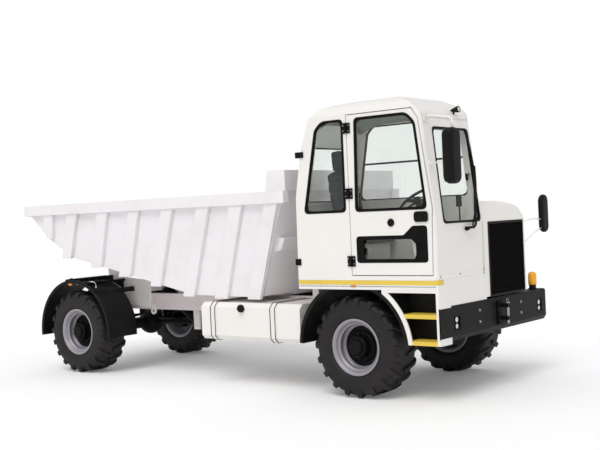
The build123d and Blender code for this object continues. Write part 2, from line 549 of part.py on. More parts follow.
side_points = [(x, drop(z)) for x, z in bed_bottom]
side_points += [(tail_x + 10, bed_rail_high_z - 20), (front_top_x, bed_rail_high_z - 20)]
side_y = (-bed_top_half_y, -bed_top_half_y + bed_plate)
bed_side = slab_y(side_points, side_y)
rib_table = [
    # top x, top width, bottom x, bottom width, bottom z
    (-4766, 200, -4782, 110, 1712),
    (-4284, 190, -4490, 165, 1445),
    (-3708, 182, -3942, 186, 1330),
    (-3147, 172, -3440, 205, 1213),
    (-2579, 176, -2918, 168, 1100),
    (-2010, 190, -2386, 173, 988),
    (-1512, 184, -1884, 190, 970),
    (-1009, 186, -1392, 180, 970),
]
rib_y = (-bed_top_half_y - rib_depth, -bed_top_half_y)
for top_x, top_w, low_x, low_w, low_z in rib_table:
    rib = slab_y([(top_x - top_w / 2, bed_rail_low_z + 20), (top_x + top_w / 2, bed_rail_low_z + 20),
                  (low_x + low_w / 2, drop(low_z)), (low_x - low_w / 2, drop(low_z))], rib_y)
    bed_side += rib
bed_side = leaned(bed_side)
top_rail = block((tail_x, front_top_x + 30), (-bed_top_half_y - rail_depth, -bed_top_half_y + bed_plate), (bed_rail_low_z, bed_rail_high_z))
bed_side += top_rail
bed_side = bed_side & block((-far, far), (-far, 0), (900, bed_rail_high_z))
parts["bed_right_side"] = bed_side
parts["bed_left_side"] = mirrored(bed_side)

lean_tan = math.tan(math.radians(bed_lean))


def inner_half(z):
    """Half the bed's inner width at a height."""
    return bed_top_half_y - bed_plate / math.cos(math.radians(bed_lean)) - (pivot_z - z) * lean_tan - 0.5


trough = [(-inner_half(900), 900), (inner_half(900), 900), (inner_half(pivot_z), pivot_z),
          (inner_half(pivot_z), 2600), (-inner_half(pivot_z), 2600), (-inner_half(pivot_z), pivot_z)]
trough = slab_x(trough, (tail_x, 0))
floor_thick = 40
floor_line = [(x, z + 12) for x, z in bed_bottom[:-1]] + [(tail_x + 40, bed_rail_low_z + 20)]
floor_band = floor_line + [(x, z + floor_thick) for x, z in reversed(floor_line)]
parts["bed_floor"] = slab_y(floor_band, (-bed_top_half_y, bed_top_half_y)) & trough
wall_thick = 34
front_band = [(front_low_x + 2, bed_low_z + 12), (front_low_x + 2 + wall_thick, bed_low_z + 12),
              (front_top_x, bed_rail_high_z), (front_top_x, headboard_z), (front_top_x - wall_thick, headboard_z),
              (front_top_x - wall_thick, bed_rail_high_z)]
front_wall = (slab_y(front_band, (-bed_top_half_y, bed_top_half_y)) & trough) - parts["bed_floor"]
for side in (-1, 1):
    wing_y = sorted((side * (bed_top_half_y - 15), side * (bed_top_half_y - 45)))
    front_wall += slab_y([(front_top_x, bed_rail_high_z + 0.3), (front_top_x, headboard_z), (front_top_x - 235, headboard_z),
                          (front_top_x - 270, 2180), (front_top_x - 270, bed_rail_high_z + 0.3)], wing_y)


def wall_face_x(z):
    """The front wall's front face at a height."""
    climb = (z - bed_low_z - 12) / (bed_rail_high_z - bed_low_z - 12)
    return front_low_x + 2 + wall_thick + (front_top_x - front_low_x - 2 - wall_thick) * climb


mid_rib = slab_y([(wall_face_x(1480) - 10, 1480), (wall_face_x(1480) + 75, 1500), (wall_face_x(1640) + 70, 1620),
                  (wall_face_x(1640) - 10, 1640)], (-930, 930))
front_wall += mid_rib & trough
parts["bed_front_wall"] = front_wall

bore = rod_y(hinge_x, hinge_z, hinge_pin_r + hinge_fit, (-2 * rail_outer_y, 2 * rail_outer_y))
lug = slab_y([(hinge_x - 55, hinge_z - 55), (hinge_x + 60, hinge_z - 55), (hinge_x + 260, 1300), (hinge_x + 180, 1400),
              (hinge_x - 40, 1446), (hinge_x - 70, 1300)], (-rail_outer_y + 25, -rail_outer_y + 95))
beam_low = rail_high_z + 8
beam = slab_y([(-1420, beam_low), (-2900, beam_low), (-4100, 1310), (-4180, 1400), (-2350, 1011), (-1400, 997)], (-345, -275))
eye_lug = slab_y([(hoist_eye[0] - 60, hoist_eye[1] - 45), (hoist_eye[0] + 60, hoist_eye[1] - 45),
                  (hoist_eye[0] + 120, 1300), (hoist_eye[0] - 120, 1352)], (hoist_y - 80, hoist_y - 50))
eye_lug -= rod_y(*hoist_eye, hoist_pin_r + 0.3, (hoist_y - 90, hoist_y))
eye_lug += Pos(0, 130, 0) * eye_lug
parts["bed_runners"] = sides(lug + beam) + eye_lug - bore - parts["bed_floor"]

# Hoist: the barrel swings on the chassis, the rod slides in it and pushes the bed
base, eye_at = Vector(hoist_base[0], hoist_y, hoist_base[1]), Vector(hoist_eye[0], hoist_y, hoist_eye[1])
way = (eye_at - base).normalized()
hoist_length = (eye_at - base).length
stroke_room = 110
barrel_start = base + way * 75
barrel_end = base + way * (hoist_length - stroke_room)
barrel = bar(tuple(barrel_start), tuple(barrel_end), barrel_r)
barrel += rod_y(base.X, base.Z, 55, (hoist_y - 75, hoist_y + 75)) + bar(tuple(base + way * 20), tuple(base + way * 90), 45)
barrel -= rod_y(base.X, base.Z, hoist_pin_r + 0.3, (hoist_y - 90, hoist_y + 90))
bore_start = base + way * 105
barrel -= bar(tuple(bore_start), tuple(barrel_end + way * 20), rod_r + 0.3)
parts["hoist_barrel"] = barrel
rod = bar(tuple(base + way * 115), tuple(eye_at - way * 30), rod_r)
rod += rod_y(eye_at.X, eye_at.Z, 55, (hoist_y - 45, hoist_y + 45))
rod -= rod_y(eye_at.X, eye_at.Z, hoist_pin_r + 0.3, (hoist_y - 60, hoist_y + 60))
parts["hoist_rod"] = rod

shift = Pos(-(tail_x + mirror_front_x) / 2, 0, 0)
os.makedirs("parts", exist_ok=True)
for node, piece in parts.items():
    export_step(shift * piece, "parts/" + node + ".step")
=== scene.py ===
import bpy
import bmesh
import json
import math
from mathutils import Matrix, Vector


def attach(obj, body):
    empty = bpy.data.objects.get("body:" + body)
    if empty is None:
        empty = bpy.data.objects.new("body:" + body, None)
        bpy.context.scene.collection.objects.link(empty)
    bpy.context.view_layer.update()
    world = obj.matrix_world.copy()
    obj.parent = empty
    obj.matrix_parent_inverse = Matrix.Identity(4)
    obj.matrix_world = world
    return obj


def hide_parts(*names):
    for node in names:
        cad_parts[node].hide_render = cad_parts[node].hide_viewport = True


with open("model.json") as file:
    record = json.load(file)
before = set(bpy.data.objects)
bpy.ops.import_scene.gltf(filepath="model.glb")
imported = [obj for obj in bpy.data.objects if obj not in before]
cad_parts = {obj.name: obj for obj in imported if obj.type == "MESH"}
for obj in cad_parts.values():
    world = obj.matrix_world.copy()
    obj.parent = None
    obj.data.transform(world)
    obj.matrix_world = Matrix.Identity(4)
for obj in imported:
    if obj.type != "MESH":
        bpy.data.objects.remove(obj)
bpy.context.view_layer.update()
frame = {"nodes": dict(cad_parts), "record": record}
scene = bpy.context.scene

# Metres; x is measured from the front axle, as in the part's own source, and at() moves it
AXLE_X = 1.966
CAB_RIGHT, CAB_LEFT, CAB_FRONT = -1.133, -0.195, 1.015
SEAT_Y = -0.640
REAR_AXLE_X = -4.304


def placed(name, data):
    """A new object, linked to the scene."""
    obj = bpy.data.objects.new(name, data)
    scene.collection.objects.link(obj)
    return obj


def linear(c):
    """A screen colour, 0 to 255, as the linear value that shaders use."""
    c = c / 255
    return c / 12.92 if c < 0.04045 else ((c + 0.055) / 1.055) ** 2.4


def rgb(*c):
    return tuple(linear(v) for v in c) + (1.0,)


def shader_node(owner, kind, **values):
    """A new node; each value goes to the input of that name, with _ for a space."""
    node = owner.node_tree.nodes.new("ShaderNode" + kind)
    for name, value in values.items():
        node.inputs[name.replace("_", " ")].default_value = value
    return node


def join(source, output, target, place):
    """A link from a node's output to another node's input."""
    source.id_data.links.new(source.outputs[output], target.inputs[place])


def color_mix(owner, low, high):
    """A mix of two colours, which stand at inputs 6 and 7, by the share at input 0."""
    node = shader_node(owner, "Mix")
    node.data_type = "RGBA"
    node.inputs[6].default_value, node.inputs[7].default_value = low, high
    return node


def material(name, color, rough=0.5, metal=0.0, vary=0.06, scale=6.0, bump=0.0, bump_scale=60.0, edge=0.0,
             coat=0.0, dirt=0.0, dirt_color=(120, 110, 100), gleam=0.5):
    """A painted, moulded or cast surface: its colour and roughness drift slowly, dust lies in
    patches, and edges are slightly rounded."""
    mat = bpy.data.materials.new(name)
    mat.use_nodes = True
    links, bsdf = mat.node_tree.links, mat.node_tree.nodes["Principled BSDF"]
    coords = shader_node(mat, "TexCoord")
    noise = shader_node(mat, "TexNoise", Scale=scale, Detail=6)
    join(coords, "Object", noise, "Vector")
    low = tuple(c * (1 - vary) for c in rgb(*color)[:3]) + (1,)
    high = tuple(min(1, c * (1 + vary)) for c in rgb(*color)[:3]) + (1,)
    drift = color_mix(mat, low, high)
    join(noise, "Fac", drift, 0)
    out = drift.outputs[2]
    if dirt:
        patches = shader_node(mat, "TexNoise", Scale=2.3, Detail=8, Roughness=0.7)
        join(coords, "Object", patches, "Vector")
        spread = shader_node(mat, "MapRange", From_Min=0.48, From_Max=0.75, To_Max=dirt)
        join(patches, "Fac", spread, "Value")
        dusty = color_mix(mat, low, rgb(*dirt_color))
        join(spread, "Result", dusty, 0)
        links.new(out, dusty.inputs[6])
        out = dusty.outputs[2]
    links.new(out, bsdf.inputs["Base Color"])
    shine = shader_node(mat, "MapRange", To_Min=rough * 0.85, To_Max=min(1.0, rough * 1.15))
    join(noise, "Fac", shine, "Value")
    join(shine, "Result", bsdf, "Roughness")
    bsdf.inputs["Metallic"].default_value = metal
    bsdf.inputs["Coat Weight"].default_value = coat
    bsdf.inputs["Specular IOR Level"].default_value = gleam
    normal = None
    if edge:
        soft = shader_node(mat, "Bevel", Radius=edge)
        soft.samples = 4
        normal = soft.outputs["Normal"]
    if bump:
        grain = shader_node(mat, "TexNoise", Scale=bump_scale, Detail=4)
        join(coords, "Object", grain, "Vector")
        relief = shader_node(mat, "Bump", Strength=bump, Distance=0.002)
        join(grain, "Fac", relief, "Height")
        if normal:
            links.new(normal, relief.inputs["Normal"])
        normal = relief.outputs["Normal"]
    if normal:
        links.new(normal, bsdf.inputs["Normal"])
    return mat


white = material("white_paint", (243, 240, 236), rough=0.38, vary=0.02, scale=3, edge=0.004, coat=0.15,
                 bump=0.05, bump_scale=90, dirt=0.10, dirt_color=(205, 198, 190))
bed_paint = material("bed_paint", (243, 239, 242), rough=0.45, vary=0.03, scale=3, edge=0.005, bump=0.08,
                     bump_scale=70, dirt=0.16, dirt_color=(190, 182, 178))
black_steel = material("black_steel", (13, 12, 12), rough=0.45, vary=0.12, edge=0.003, bump=0.1, gleam=0.13)
grille_black = material("grille_black", (8, 8, 8), rough=0.6, vary=0.1, gleam=0.05)
black_plastic = material("black_plastic", (16, 15, 15), rough=0.5, vary=0.1, bump=0.15, bump_scale=220,
                         gleam=0.16)
fender_rubber = material("fender_rubber", (18, 18, 19), rough=0.5, vary=0.12, bump=0.1, dirt=0.06,
                         gleam=0.16)
tyre_rubber = material("tyre_rubber", (33, 30, 31), rough=0.55, vary=0.14, bump=0.25, bump_scale=130,
                       dirt=0.22, dirt_color=(78, 70, 66), gleam=0.28)
rim_paint = material("rim_paint", (158, 154, 162), rough=0.42, metal=0.25, vary=0.05, edge=0.002, dirt=0.15)
yellow = material("yellow_paint", (234, 202, 78), rough=0.45, vary=0.06, edge=0.002, dirt=0.12)
lamp_amber = material("lamp_amber", (205, 120, 28), rough=0.2, vary=0.08, coat=0.5)
beacon_amber = material("beacon_amber", (250, 172, 22), rough=0.2, vary=0.06, coat=0.5)
chrome = material("chrome", (215, 215, 218), rough=0.12, metal=1.0, vary=0.03)
seal_rubber = material("seal_rubber", (11, 11, 12), rough=0.5, vary=0.12, bump=0.06, gleam=0.12)
bolt_metal = material("bolt_metal", (168, 166, 162), rough=0.3, metal=0.9, vary=0.08)
lining_cloth = material("lining_cloth", (150, 156, 150), rough=0.92, vary=0.08, bump=0.35, bump_scale=500)
dash_grey = material("dash_grey", (220, 214, 208), rough=0.6, vary=0.05, bump=0.15, bump_scale=260)
lens_clear = material("lens_clear", (214, 214, 210), rough=0.12, vary=0.06, coat=0.8, bump=0.25,
                      bump_scale=160)
lamp_red = material("lamp_red", (150, 22, 18), rough=0.2, vary=0.08, coat=0.5)
mirror_silver = material("mirror_silver", (222, 226, 228), rough=0.03, metal=1.0, vary=0.02)
seat_cloth = material("seat_cloth", (44, 56, 56), rough=0.9, vary=0.15, bump=0.5, bump_scale=420)
roof_paint = material("roof_paint", (243, 241, 238), rough=0.4, vary=0.02, scale=3, edge=0.045, coat=0.15)
# The chassis frame's white is darker than the cab's: painted shade, for the shadow that the bed casts on
# the frame.
frame_shaded_paint = material("frame_shaded_paint", (224, 214, 215), rough=0.5, vary=0.04, scale=4, edge=0.003, dirt=0.2,
                       dirt_color=(150, 138, 134))


def make_glass():
    """Clear glass with a faint, slightly uneven gloss."""
    mat = bpy.data.materials.new("window_glass")
    mat.use_nodes = True
    nodes, links = mat.node_tree.nodes, mat.node_tree.links
    nodes.remove(nodes["Principled BSDF"])
    clear = shader_node(mat, "BsdfTransparent", Color=(0.965, 0.98, 0.97, 1))
    gloss = shader_node(mat, "BsdfGlossy", Roughness=0.02)
    film = shader_node(mat, "TexNoise", Scale=3.0)
    amount = shader_node(mat, "MapRange", To_Min=0.03, To_Max=0.05)
    join(film, "Fac", amount, "Value")
    mix = shader_node(mat, "MixShader")
    for place, (node, output) in enumerate(((amount, "Result"), (clear, 0), (gloss, 0))):
        join(node, output, mix, place)
    links.new(mix.outputs[0], nodes["Material Output"].inputs["Surface"])
    return mat


glass = make_glass()
finishes = {"bed_white": bed_paint, "cab_white": white, "black_steel": black_steel,
            "black_plastic": black_plastic, "fender_rubber": fender_rubber, "tyre": tyre_rubber,
            "rim": rim_paint, "yellow": yellow, "glass": glass, "lamp": lamp_amber, "seat": seat_cloth,
            "chrome": chrome}
for part in frame["record"]["subparts"]:
    node = frame["nodes"][part["node"]]
    for place in node.material_slots:
        place.material = finishes[part["material_slot"]]
# The chassis rails take the frame's darker white, which carries painted shade from the bed above.
for name, finish in (("cab_roof", roof_paint), ("cab_floor", white), ("grille", grille_black),
                     ("chassis_rails", frame_shaded_paint), ("cross_members", black_steel)):
    for place in frame["nodes"][name].material_slots:
        place.material = finish

# Helpers: every piece is one mesh that rides on a body of the frame


def at(x, y, z):
    """A point whose x is measured from the front axle, in metres."""
    return Vector((x + AXLE_X, y, z))


def rect(u, v):
    """The corners of a rectangle between two places each way."""
    return [(u[0], v[0]), (u[1], v[0]), (u[1], v[1]), (u[0], v[1])]


def facing_front(u, v, d):
    """A plane across the truck: u is y, v the height, d is x."""
    return at(d, u, v)


def facing_side(u, v, d):
    """A plane along the truck: u is x, v the height, d is y."""
    return at(u, d, v)


def facing_up(u, v, d):
    """A level plane: u is x, v is y, d the height."""
    return at(u, v, d)


def piece(name, verts, faces, mat, body="root", slot="black_plastic", bevel=0.0, smooth=False, steps=2):
    """One mesh with one material, which rides on a body of the frame; its slot argument is not used."""
    mesh = bpy.data.meshes.new(name)
    mesh.from_pydata([tuple(v) for v in verts], [], faces)
    mesh.materials.append(mat)
    work = bmesh.new()
    work.from_mesh(mesh)
    bmesh.ops.recalc_face_normals(work, faces=work.faces)
    work.to_mesh(mesh)
    work.free()
    obj = placed(name, mesh)
    for face in mesh.polygons:
        face.use_smooth = smooth
    if bevel:
        soft = obj.modifiers.new("edges", "BEVEL")
        soft.width = bevel
        soft.segments = steps
        soft.limit_method = "ANGLE"
        soft.angle_limit = math.radians(35)
        soft.harden_normals = False
    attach(obj, body)
    return obj


class Shape:
    """Vertices and faces gathered from simple forms, for one piece."""

    def __init__(self):
        self.verts, self.faces = [], []

    def add(self, verts, faces):
        start = len(self.verts)
        self.verts += [Vector(v) for v in verts]
        self.faces += [tuple(start + i for i in face) for face in faces]
        return self

    def box(self, x, y, z):
        corners = [at(a, b, c) for a in x for b in y for c in z]
        sides = [(0, 1, 3, 2), (4, 6, 7, 5), (0, 4, 5, 1), (2, 3, 7, 6), (0, 2, 6, 4), (1, 5, 7, 3)]
        return self.add(corners, sides)

    def prism(self, outline, depth, plane):
        """An outline in a plane, with thickness along its normal from depth[0] to depth[1]."""
        count = len(outline)
        verts = [plane(u, v, d) for d in depth for u, v in outline]
        faces = [tuple(range(count)), tuple(range(2 * count - 1, count - 1, -1))]
        faces += [(i, (i + 1) % count, count + (i + 1) % count, count + i) for i in range(count)]
        return self.add(verts, faces)

    def ring(self, outer, inner, depth, plane):
        """The band between two outlines with the same number of points."""
        count = len(outer)
        verts = [plane(u, v, d) for d in depth for line in (outer, inner) for u, v in line]
        faces = []
        for i in range(count):
            j = (i + 1) % count
            faces += [(i, j, count + j, count + i),
                      (2 * count + i, 3 * count + i, 3 * count + j, 2 * count + j),
                      (i, 2 * count + i, 2 * count + j, j),
                      (count + i, count + j, 3 * count + j, 3 * count + i)]
        return self.add(verts, faces)

    def tube(self, points, radius, sides=12):
        """A round tube along points, closed at its ends."""
        points = [Vector(p) for p in points]
        verts, previous = [], None
        for i, point in enumerate(points):
            way = (points[min(i + 1, len(points) - 1)] - points[max(i - 1, 0)]).normalized()
            across = previous - way * previous.dot(way) if previous else way.orthogonal()
            across.normalize()
            previous = across
            other = way.cross(across)
            for k in range(sides):
                angle = 2 * math.pi * k / sides
                verts.append(point + radius * (math.cos(angle) * across + math.sin(angle) * other))
        faces = []
        for i in range(len(points) - 1):
            for k in range(sides):
                a, b = i * sides + k, i * sides + (k + 1) % sides
                faces.append((a, b, b + sides, a + sides))
        faces += [tuple(range(sides)), tuple(range(len(verts) - sides, len(verts)))]
        return self.add(verts, faces)

    def lathe(self, profile, centre, axis=(0, 1, 0), sides=64, closed=False):
        """Rings of (distance along the axis, radius) about an axis through centre."""
        axis = Vector(axis).normalized()
        across = axis.orthogonal().normalized()
        other = axis.cross(across)
        verts = [centre + axis * d + r * (math.cos(2 * math.pi * k / sides) * across
                                          + math.sin(2 * math.pi * k / sides) * other)
                 for d, r in profile for k in range(sides)]
        faces = []
        rows = len(profile)
        for i in range(rows if closed else rows - 1):
            n = (i + 1) % rows
            for k in range(sides):
                m = (k + 1) % sides
                faces.append((i * sides + k, i * sides + m, n * sides + m, n * sides + k))
        if not closed:
            faces += [tuple(range(sides)), tuple(range((rows - 1) * sides, rows * sides))]
        return self.add(verts, faces)

    def make(self, name, mat, **more):
        return piece(name, self.verts, self.faces, mat, **more)


def grown(points, amount):
    """A convex or nearly convex outline moved outward by an amount."""
    area = sum(a[0] * b[1] - b[0] * a[1] for a, b in zip(points, points[1:] + points[:1]))
    side = 1 if area > 0 else -1
    lines = []
    for a, b in zip(points, points[1:] + points[:1]):
        dx, dz = b[0] - a[0], b[1] - a[1]
        size = math.hypot(dx, dz)
        lines.append((a[0] + side * dz / size * amount, a[1] - side * dx / size * amount, dx, dz))
    moved = []
    for (x1, z1, dx1, dz1), (x2, z2, dx2, dz2) in zip(lines[-1:] + lines[:-1], lines):
        cross = dx1 * dz2 - dz1 * dx2
        t = ((x2 - x1) * dz2 - (z2 - z1) * dx2) / cross
        moved.append((x1 + dx1 * t, z1 + dz1 * t))
    return moved


def rounded(points, radii, steps=6):
    """An outline with each corner replaced by an arc of its own radius."""
    if not isinstance(radii, (list, tuple)):
        radii = [radii] * len(points)
    out = []
    count = len(points)
    for i, radius in enumerate(radii):
        here, before, after = (Vector((*points[j % count], 0)) for j in (i, i - 1, i + 1))
        u, v = (before - here).normalized(), (after - here).normalized()
        half = u.angle(v) / 2
        reach = min(radius / math.tan(half), 0.48 * (before - here).length, 0.48 * (after - here).length)
        a, b = here + u * reach, here + v * reach
        for k in range(steps + 1):
            t = k / steps
            bend = (1 - t) ** 2 * a + 2 * t * (1 - t) * (here + (u + v) * reach * 0.08) + t ** 2 * b
            out.append((bend.x, bend.y))
    return out


def right_side(u, v, d):
    """On the cab's right side: d is outward."""
    return at(u, CAB_RIGHT - d, v)


def left_side(u, v, d):
    """On the cab's left side: d is outward."""
    return at(u, CAB_LEFT + d, v)


# Wheels: a carcass with ribbed side walls and two rows of bent lugs, a stepped rim, a bolted hub
WHEEL_Z, TYRE_Y = 0.515, 0.895
LUGS = 19
LUG_FOOT_R, LUG_FLARE = 0.486, 1.45
# radius of the ring, distance out from the wheel's middle, count, size of a head
HUB_BOLTS = [(0.131, 0.084, 10, 0.0125), (0.088, 0.166, 8, 0.007)]
wheel_places = [("front_right", 0.0, -1), ("front_left", 0.0, 1), ("rear_right", REAR_AXLE_X, -1),
                ("rear_left", REAR_AXLE_X, 1)]
# distance out from the wheel's middle (minus is out), radius
side_profile = [
    (-0.158, 0.257), (-0.168, 0.289), (-0.180, 0.297), (-0.188, 0.312), (-0.1965, 0.330),
    (-0.1985, 0.334), (-0.1965, 0.338), (-0.2005, 0.365), (-0.2018, 0.392), (-0.2005, 0.418),
    (-0.199, 0.424), (-0.1985, 0.43), (-0.190, 0.455), (-0.181, 0.471), (-0.160, 0.486),
    (-0.120, 0.491), (-0.040, 0.492),
]
profile = side_profile + [(-d, r) for d, r in reversed(side_profile)]
# distance from the middle, angle along the tread, top radius, half width at the top
lug_line = [
    (0.006, 0.058, 0.5135, 0.015), (0.050, 0.040, 0.5145, 0.020), (0.100, 0.006, 0.5145, 0.022),
    (0.150, -0.042, 0.5135, 0.023), (0.184, -0.070, 0.5065, 0.024), (0.199, -0.080, 0.487, 0.024),
    (0.2015, -0.086, 0.452, 0.020), (0.2005, -0.088, 0.430, 0.014),
]
rim_profile = [
    (-0.158, 0.255), (-0.170, 0.258), (-0.174, 0.286), (-0.178, 0.289), (-0.182, 0.289),
    (-0.185, 0.285), (-0.184, 0.278), (-0.176, 0.262), (-0.166, 0.253), (-0.140, 0.247),
    (-0.134, 0.240), (-0.129, 0.226), (-0.121, 0.224), (-0.116, 0.232), (-0.105, 0.240),
    (-0.070, 0.240), (-0.056, 0.228), (-0.051, 0.205), (-0.052, 0.165), (-0.070, 0.154),
    (-0.072, 0.150), (-0.072, 0.110), (-0.034, 0.10), (-0.034, 0.235), (-0.02, 0.246), (0.158, 0.246),
    (0.176, 0.262), (0.185, 0.279), (0.185, 0.289), (0.175, 0.289), (0.170, 0.258), (0.158, 0.255),
]
hub_profile = [
    (-0.0535, 0.2045), (-0.0565, 0.203), (-0.0585, 0.166), (-0.076, 0.156), (-0.080, 0.147),
    (-0.084, 0.143), (-0.084, 0.118), (-0.095, 0.113), (-0.150, 0.110), (-0.160, 0.104),
    (-0.165, 0.096), (-0.166, 0.078), (-0.184, 0.074), (-0.189, 0.066), (-0.189, 0.0),
]
for name, x, side in wheel_places:
    centre, axis = at(x, side * TYRE_Y, WHEEL_Z), (0, -side, 0)
    body = "wheel_" + name
    tyre = Shape().lathe(profile, centre, axis, sides=96, closed=True)
    for row in (-1, 1):
        for i in range(LUGS):
            base = 2 * math.pi * (i + (0.5 if row > 0 else 0)) / LUGS - math.pi / 2
            verts = []
            for d, angle, top, wide in lug_line:
                bottom = min(top - 0.012, LUG_FOOT_R)
                foot = wide * LUG_FLARE
                for r, w in ((bottom, foot), (top, wide), (top, -wide), (bottom, -foot)):
                    turn = base + side * angle + w / r
                    verts.append(centre + Vector((r * math.cos(turn), row * d, r * math.sin(turn))))
            count = len(lug_line)
            faces = [(4 * s + a, 4 * s + (a + 1) % 4, 4 * s + 4 + (a + 1) % 4, 4 * s + 4 + a)
                     for s in range(count - 1) for a in range(4)]
            tyre.add(verts, faces + [(0, 1, 2, 3), tuple(4 * count - 4 + a for a in range(4))])
    whole = tyre.make("lugged_tyre_" + name, tyre_rubber, body=body, slot="tyre", bevel=0.004, smooth=True)
    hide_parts("tyre_" + name)
    rim = Shape().lathe(rim_profile, centre, axis, sides=72, closed=True)
    pressed = rim.make("pressed_rim_" + name, rim_paint, body=body, slot="rim", smooth=True)
    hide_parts("rim_" + name)
    hub = Shape().lathe(hub_profile, centre, axis, sides=48)
    for ring_r, start, count, size in HUB_BOLTS:
        for i in range(count):
            turn = 2 * math.pi * (i + 0.5) / count
            spot = centre + Vector((ring_r * math.cos(turn), 0, ring_r * math.sin(turn)))
            head = [(-start + 0.002, size), (-start - 0.012, size), (-start - 0.014, size * 0.8),
                    (-start - 0.014, 0)]
            hub.lathe(head, spot, axis, sides=6)
            hub.lathe([(-start - 0.012, size * 0.5), (-start - 0.022, size * 0.45), (-start - 0.022, 0)],
                      spot, axis, sides=8)
    hub.make("planetary_hub_" + name, black_steel, body=body, slot="black_steel", bevel=0.0015)

# Cab: rubber frames round its windows
WINDOW_LOW, WINDOW_HIGH = 1.884, 2.790
rear_window = [(-0.520, WINDOW_LOW), (-0.012, WINDOW_LOW), (-0.012, WINDOW_HIGH), (-0.268, WINDOW_HIGH),
               (-0.350, 2.710)]
door_window = [(0.124, WINDOW_LOW), (0.925, WINDOW_LOW), (0.830, 2.700), (0.740, WINDOW_HIGH),
               (0.149, WINDOW_HIGH)]
low_window = [(0.120, 1.376), (0.920, 1.376), (0.920, 1.708), (0.772, 1.708), (0.666, 1.620),
              (0.120, 1.620)]
left_window = [(-0.480, 1.990), (0.880, 1.990), (0.800, 2.700), (0.740, WINDOW_HIGH), (-0.268, WINDOW_HIGH),
               (-0.350, 2.710)]
SCREEN_TILT, SCREEN_FOOT_Z = math.atan2(0.115, 1.030), 1.760
REAR_X, REAR_KINK_Z = -0.645, 2.040


def screen_plane(u, v, d):
    """On the windscreen: u is y, v the height, d outward from the cab's front face."""
    return at(CAB_FRONT - (v - SCREEN_FOOT_Z) * math.tan(SCREEN_TILT) + d, u, v)


def rear_plane(u, v, d):
    """On the rear window, which leans forward above REAR_KINK_Z."""
    lean = (0.078 / 0.444) * max(0.0, v - REAR_KINK_Z)
    return at(REAR_X + 0.010 * min(1.0, (v - 1.195) / 0.845) + lean - d, u, v)


def seal(name, points, radius, wide, plane, body, depth=(-0.020, 0.005)):
    outer, inner = rounded(grown(points, wide / 2), radius), rounded(grown(points, -wide / 2), radius)
    band = Shape().ring(outer, inner, depth, plane)
    return band.make(name, seal_rubber, body=body, slot="fender_rubber", bevel=0.003)


seal("rear_window_seal", rear_window, [0.045, 0.045, 0.045, 0.12, 0.09], 0.026, right_side, "root")
seal("door_window_seal", door_window, [0.045, 0.045, 0.11, 0.11, 0.045], 0.028, right_side, "door")
seal("left_window_seal", left_window, 0.06, 0.026, left_side, "root")
screen = [(-0.968, 1.735), (-0.257, 1.735), (-0.270, 2.650), (-0.943, 2.650)]
seal("windscreen_seal", screen, 0.05, 0.022, screen_plane, "root", depth=(-0.02, 0.004))
rear_light = [(-0.983, 1.990), (-0.325, 1.990), (-0.345, 2.560), (-0.963, 2.560)]
seal("rear_light_seal", rear_light, 0.05, 0.026, rear_plane, "root", depth=(-0.02, 0.004))
# The low window's wide printed border, clear only in its middle
clear_part = [(0.195, 1.402), (0.560, 1.402), (0.800, 1.402), (0.800, 1.545), (0.748, 1.592),
              (0.195, 1.592)]
border = Shape().ring(rounded(grown(low_window, 0.010), 0.035), rounded(clear_part, 0.02), (-0.017, 0.003),
                      right_side)
border.make("low_window_border", seal_rubber, body="door", slot="fender_rubber", bevel=0.002)

# Far side: a black window frame with one cross bar and one upright, seen through the door's glass
bars = Shape().box((-0.50, 0.90), (-0.216, -0.196), (2.372, 2.392))
bars.box((0.44, 0.462), (-0.216, -0.196), (1.99, 2.385))
bars.make("left_window_bars", seal_rubber, slot="fender_rubber", bevel=0.002)

# Latch and knob on the door
latch = Shape().prism(rounded(rect((0.794, 0.950), (1.752, 1.852)), 0.028), (0.009, 0.016), right_side)
latch.prism(rounded(rect((0.812, 0.895), (1.772, 1.832)), 0.018), (0.014, 0.024), right_side)
latch.lathe([(0.012, 0.012), (0.021, 0.011), (0.021, 0)], at(0.922, CAB_RIGHT, 1.800), (0, -1, 0), sides=24)
latch.make("door_latch_handle", black_plastic, body="door", bevel=0.003)
knob = Shape().lathe([(0.0, 0.040), (0.010, 0.040), (0.016, 0.034), (0.016, 0.016), (0.022, 0.014),
                      (0.022, 0)], at(0.527, CAB_RIGHT, 1.755), (0, -1, 0), sides=8)
knob.make("door_knob", black_plastic, body="door", bevel=0.002)
# Door hinges: the door's plate carries the middle third of each knuckle
HINGE_FEET, HINGE_HIGH, HINGE_PIN, KNUCKLE_R = (1.332, 2.004, 2.655), 0.105, (0.045, -1.149), 0.0115
HINGE_PLATE_Y = (-1.1455, -1.1325)
hinge_door, hinge_cab, hinge_screws, leaf_screws = Shape(), Shape(), Shape(), Shape()
for z in HINGE_FEET:
    hinge_door.box((0.056, 0.090), HINGE_PLATE_Y, (z, z + HINGE_HIGH))
    hinge_cab.box((-0.002, 0.034), HINGE_PLATE_Y, (z, z + HINGE_HIGH))
    for low, high, group in ((0.0, 0.035, hinge_cab), (0.036, 0.069, hinge_door),
                             (0.070, HINGE_HIGH, hinge_cab)):
        group.lathe([(low, 0.0), (low, KNUCKLE_R), (high, KNUCKLE_R), (high, 0.0)], at(*HINGE_PIN, z),
                    (0, 0, 1), sides=20)
    for dz in (0.025, 0.080):
        for x, group in ((0.076, hinge_screws), (0.012, leaf_screws)):
            head = [(-0.001, 0.007), (0.0035, 0.006), (0.0045, 0.0)]
            group.lathe(head, at(x, HINGE_PLATE_Y[0], z + dz), (0, -1, 0), sides=12)
door_plates = hinge_door.make("door_hinge_plates", black_steel, body="door", slot="black_steel",
                              bevel=0.002)
cab_plates = hinge_cab.make("cab_hinge_plates", black_steel, slot="black_steel", bevel=0.002)
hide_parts("door_hardware")
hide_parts("door_hinge_leaves")
hinge_screws.make("hinge_screws_door", bolt_metal, body="door", slot="black_steel", smooth=True)
leaf_screws.make("hinge_screws_cab", bolt_metal, slot="black_steel", smooth=True)

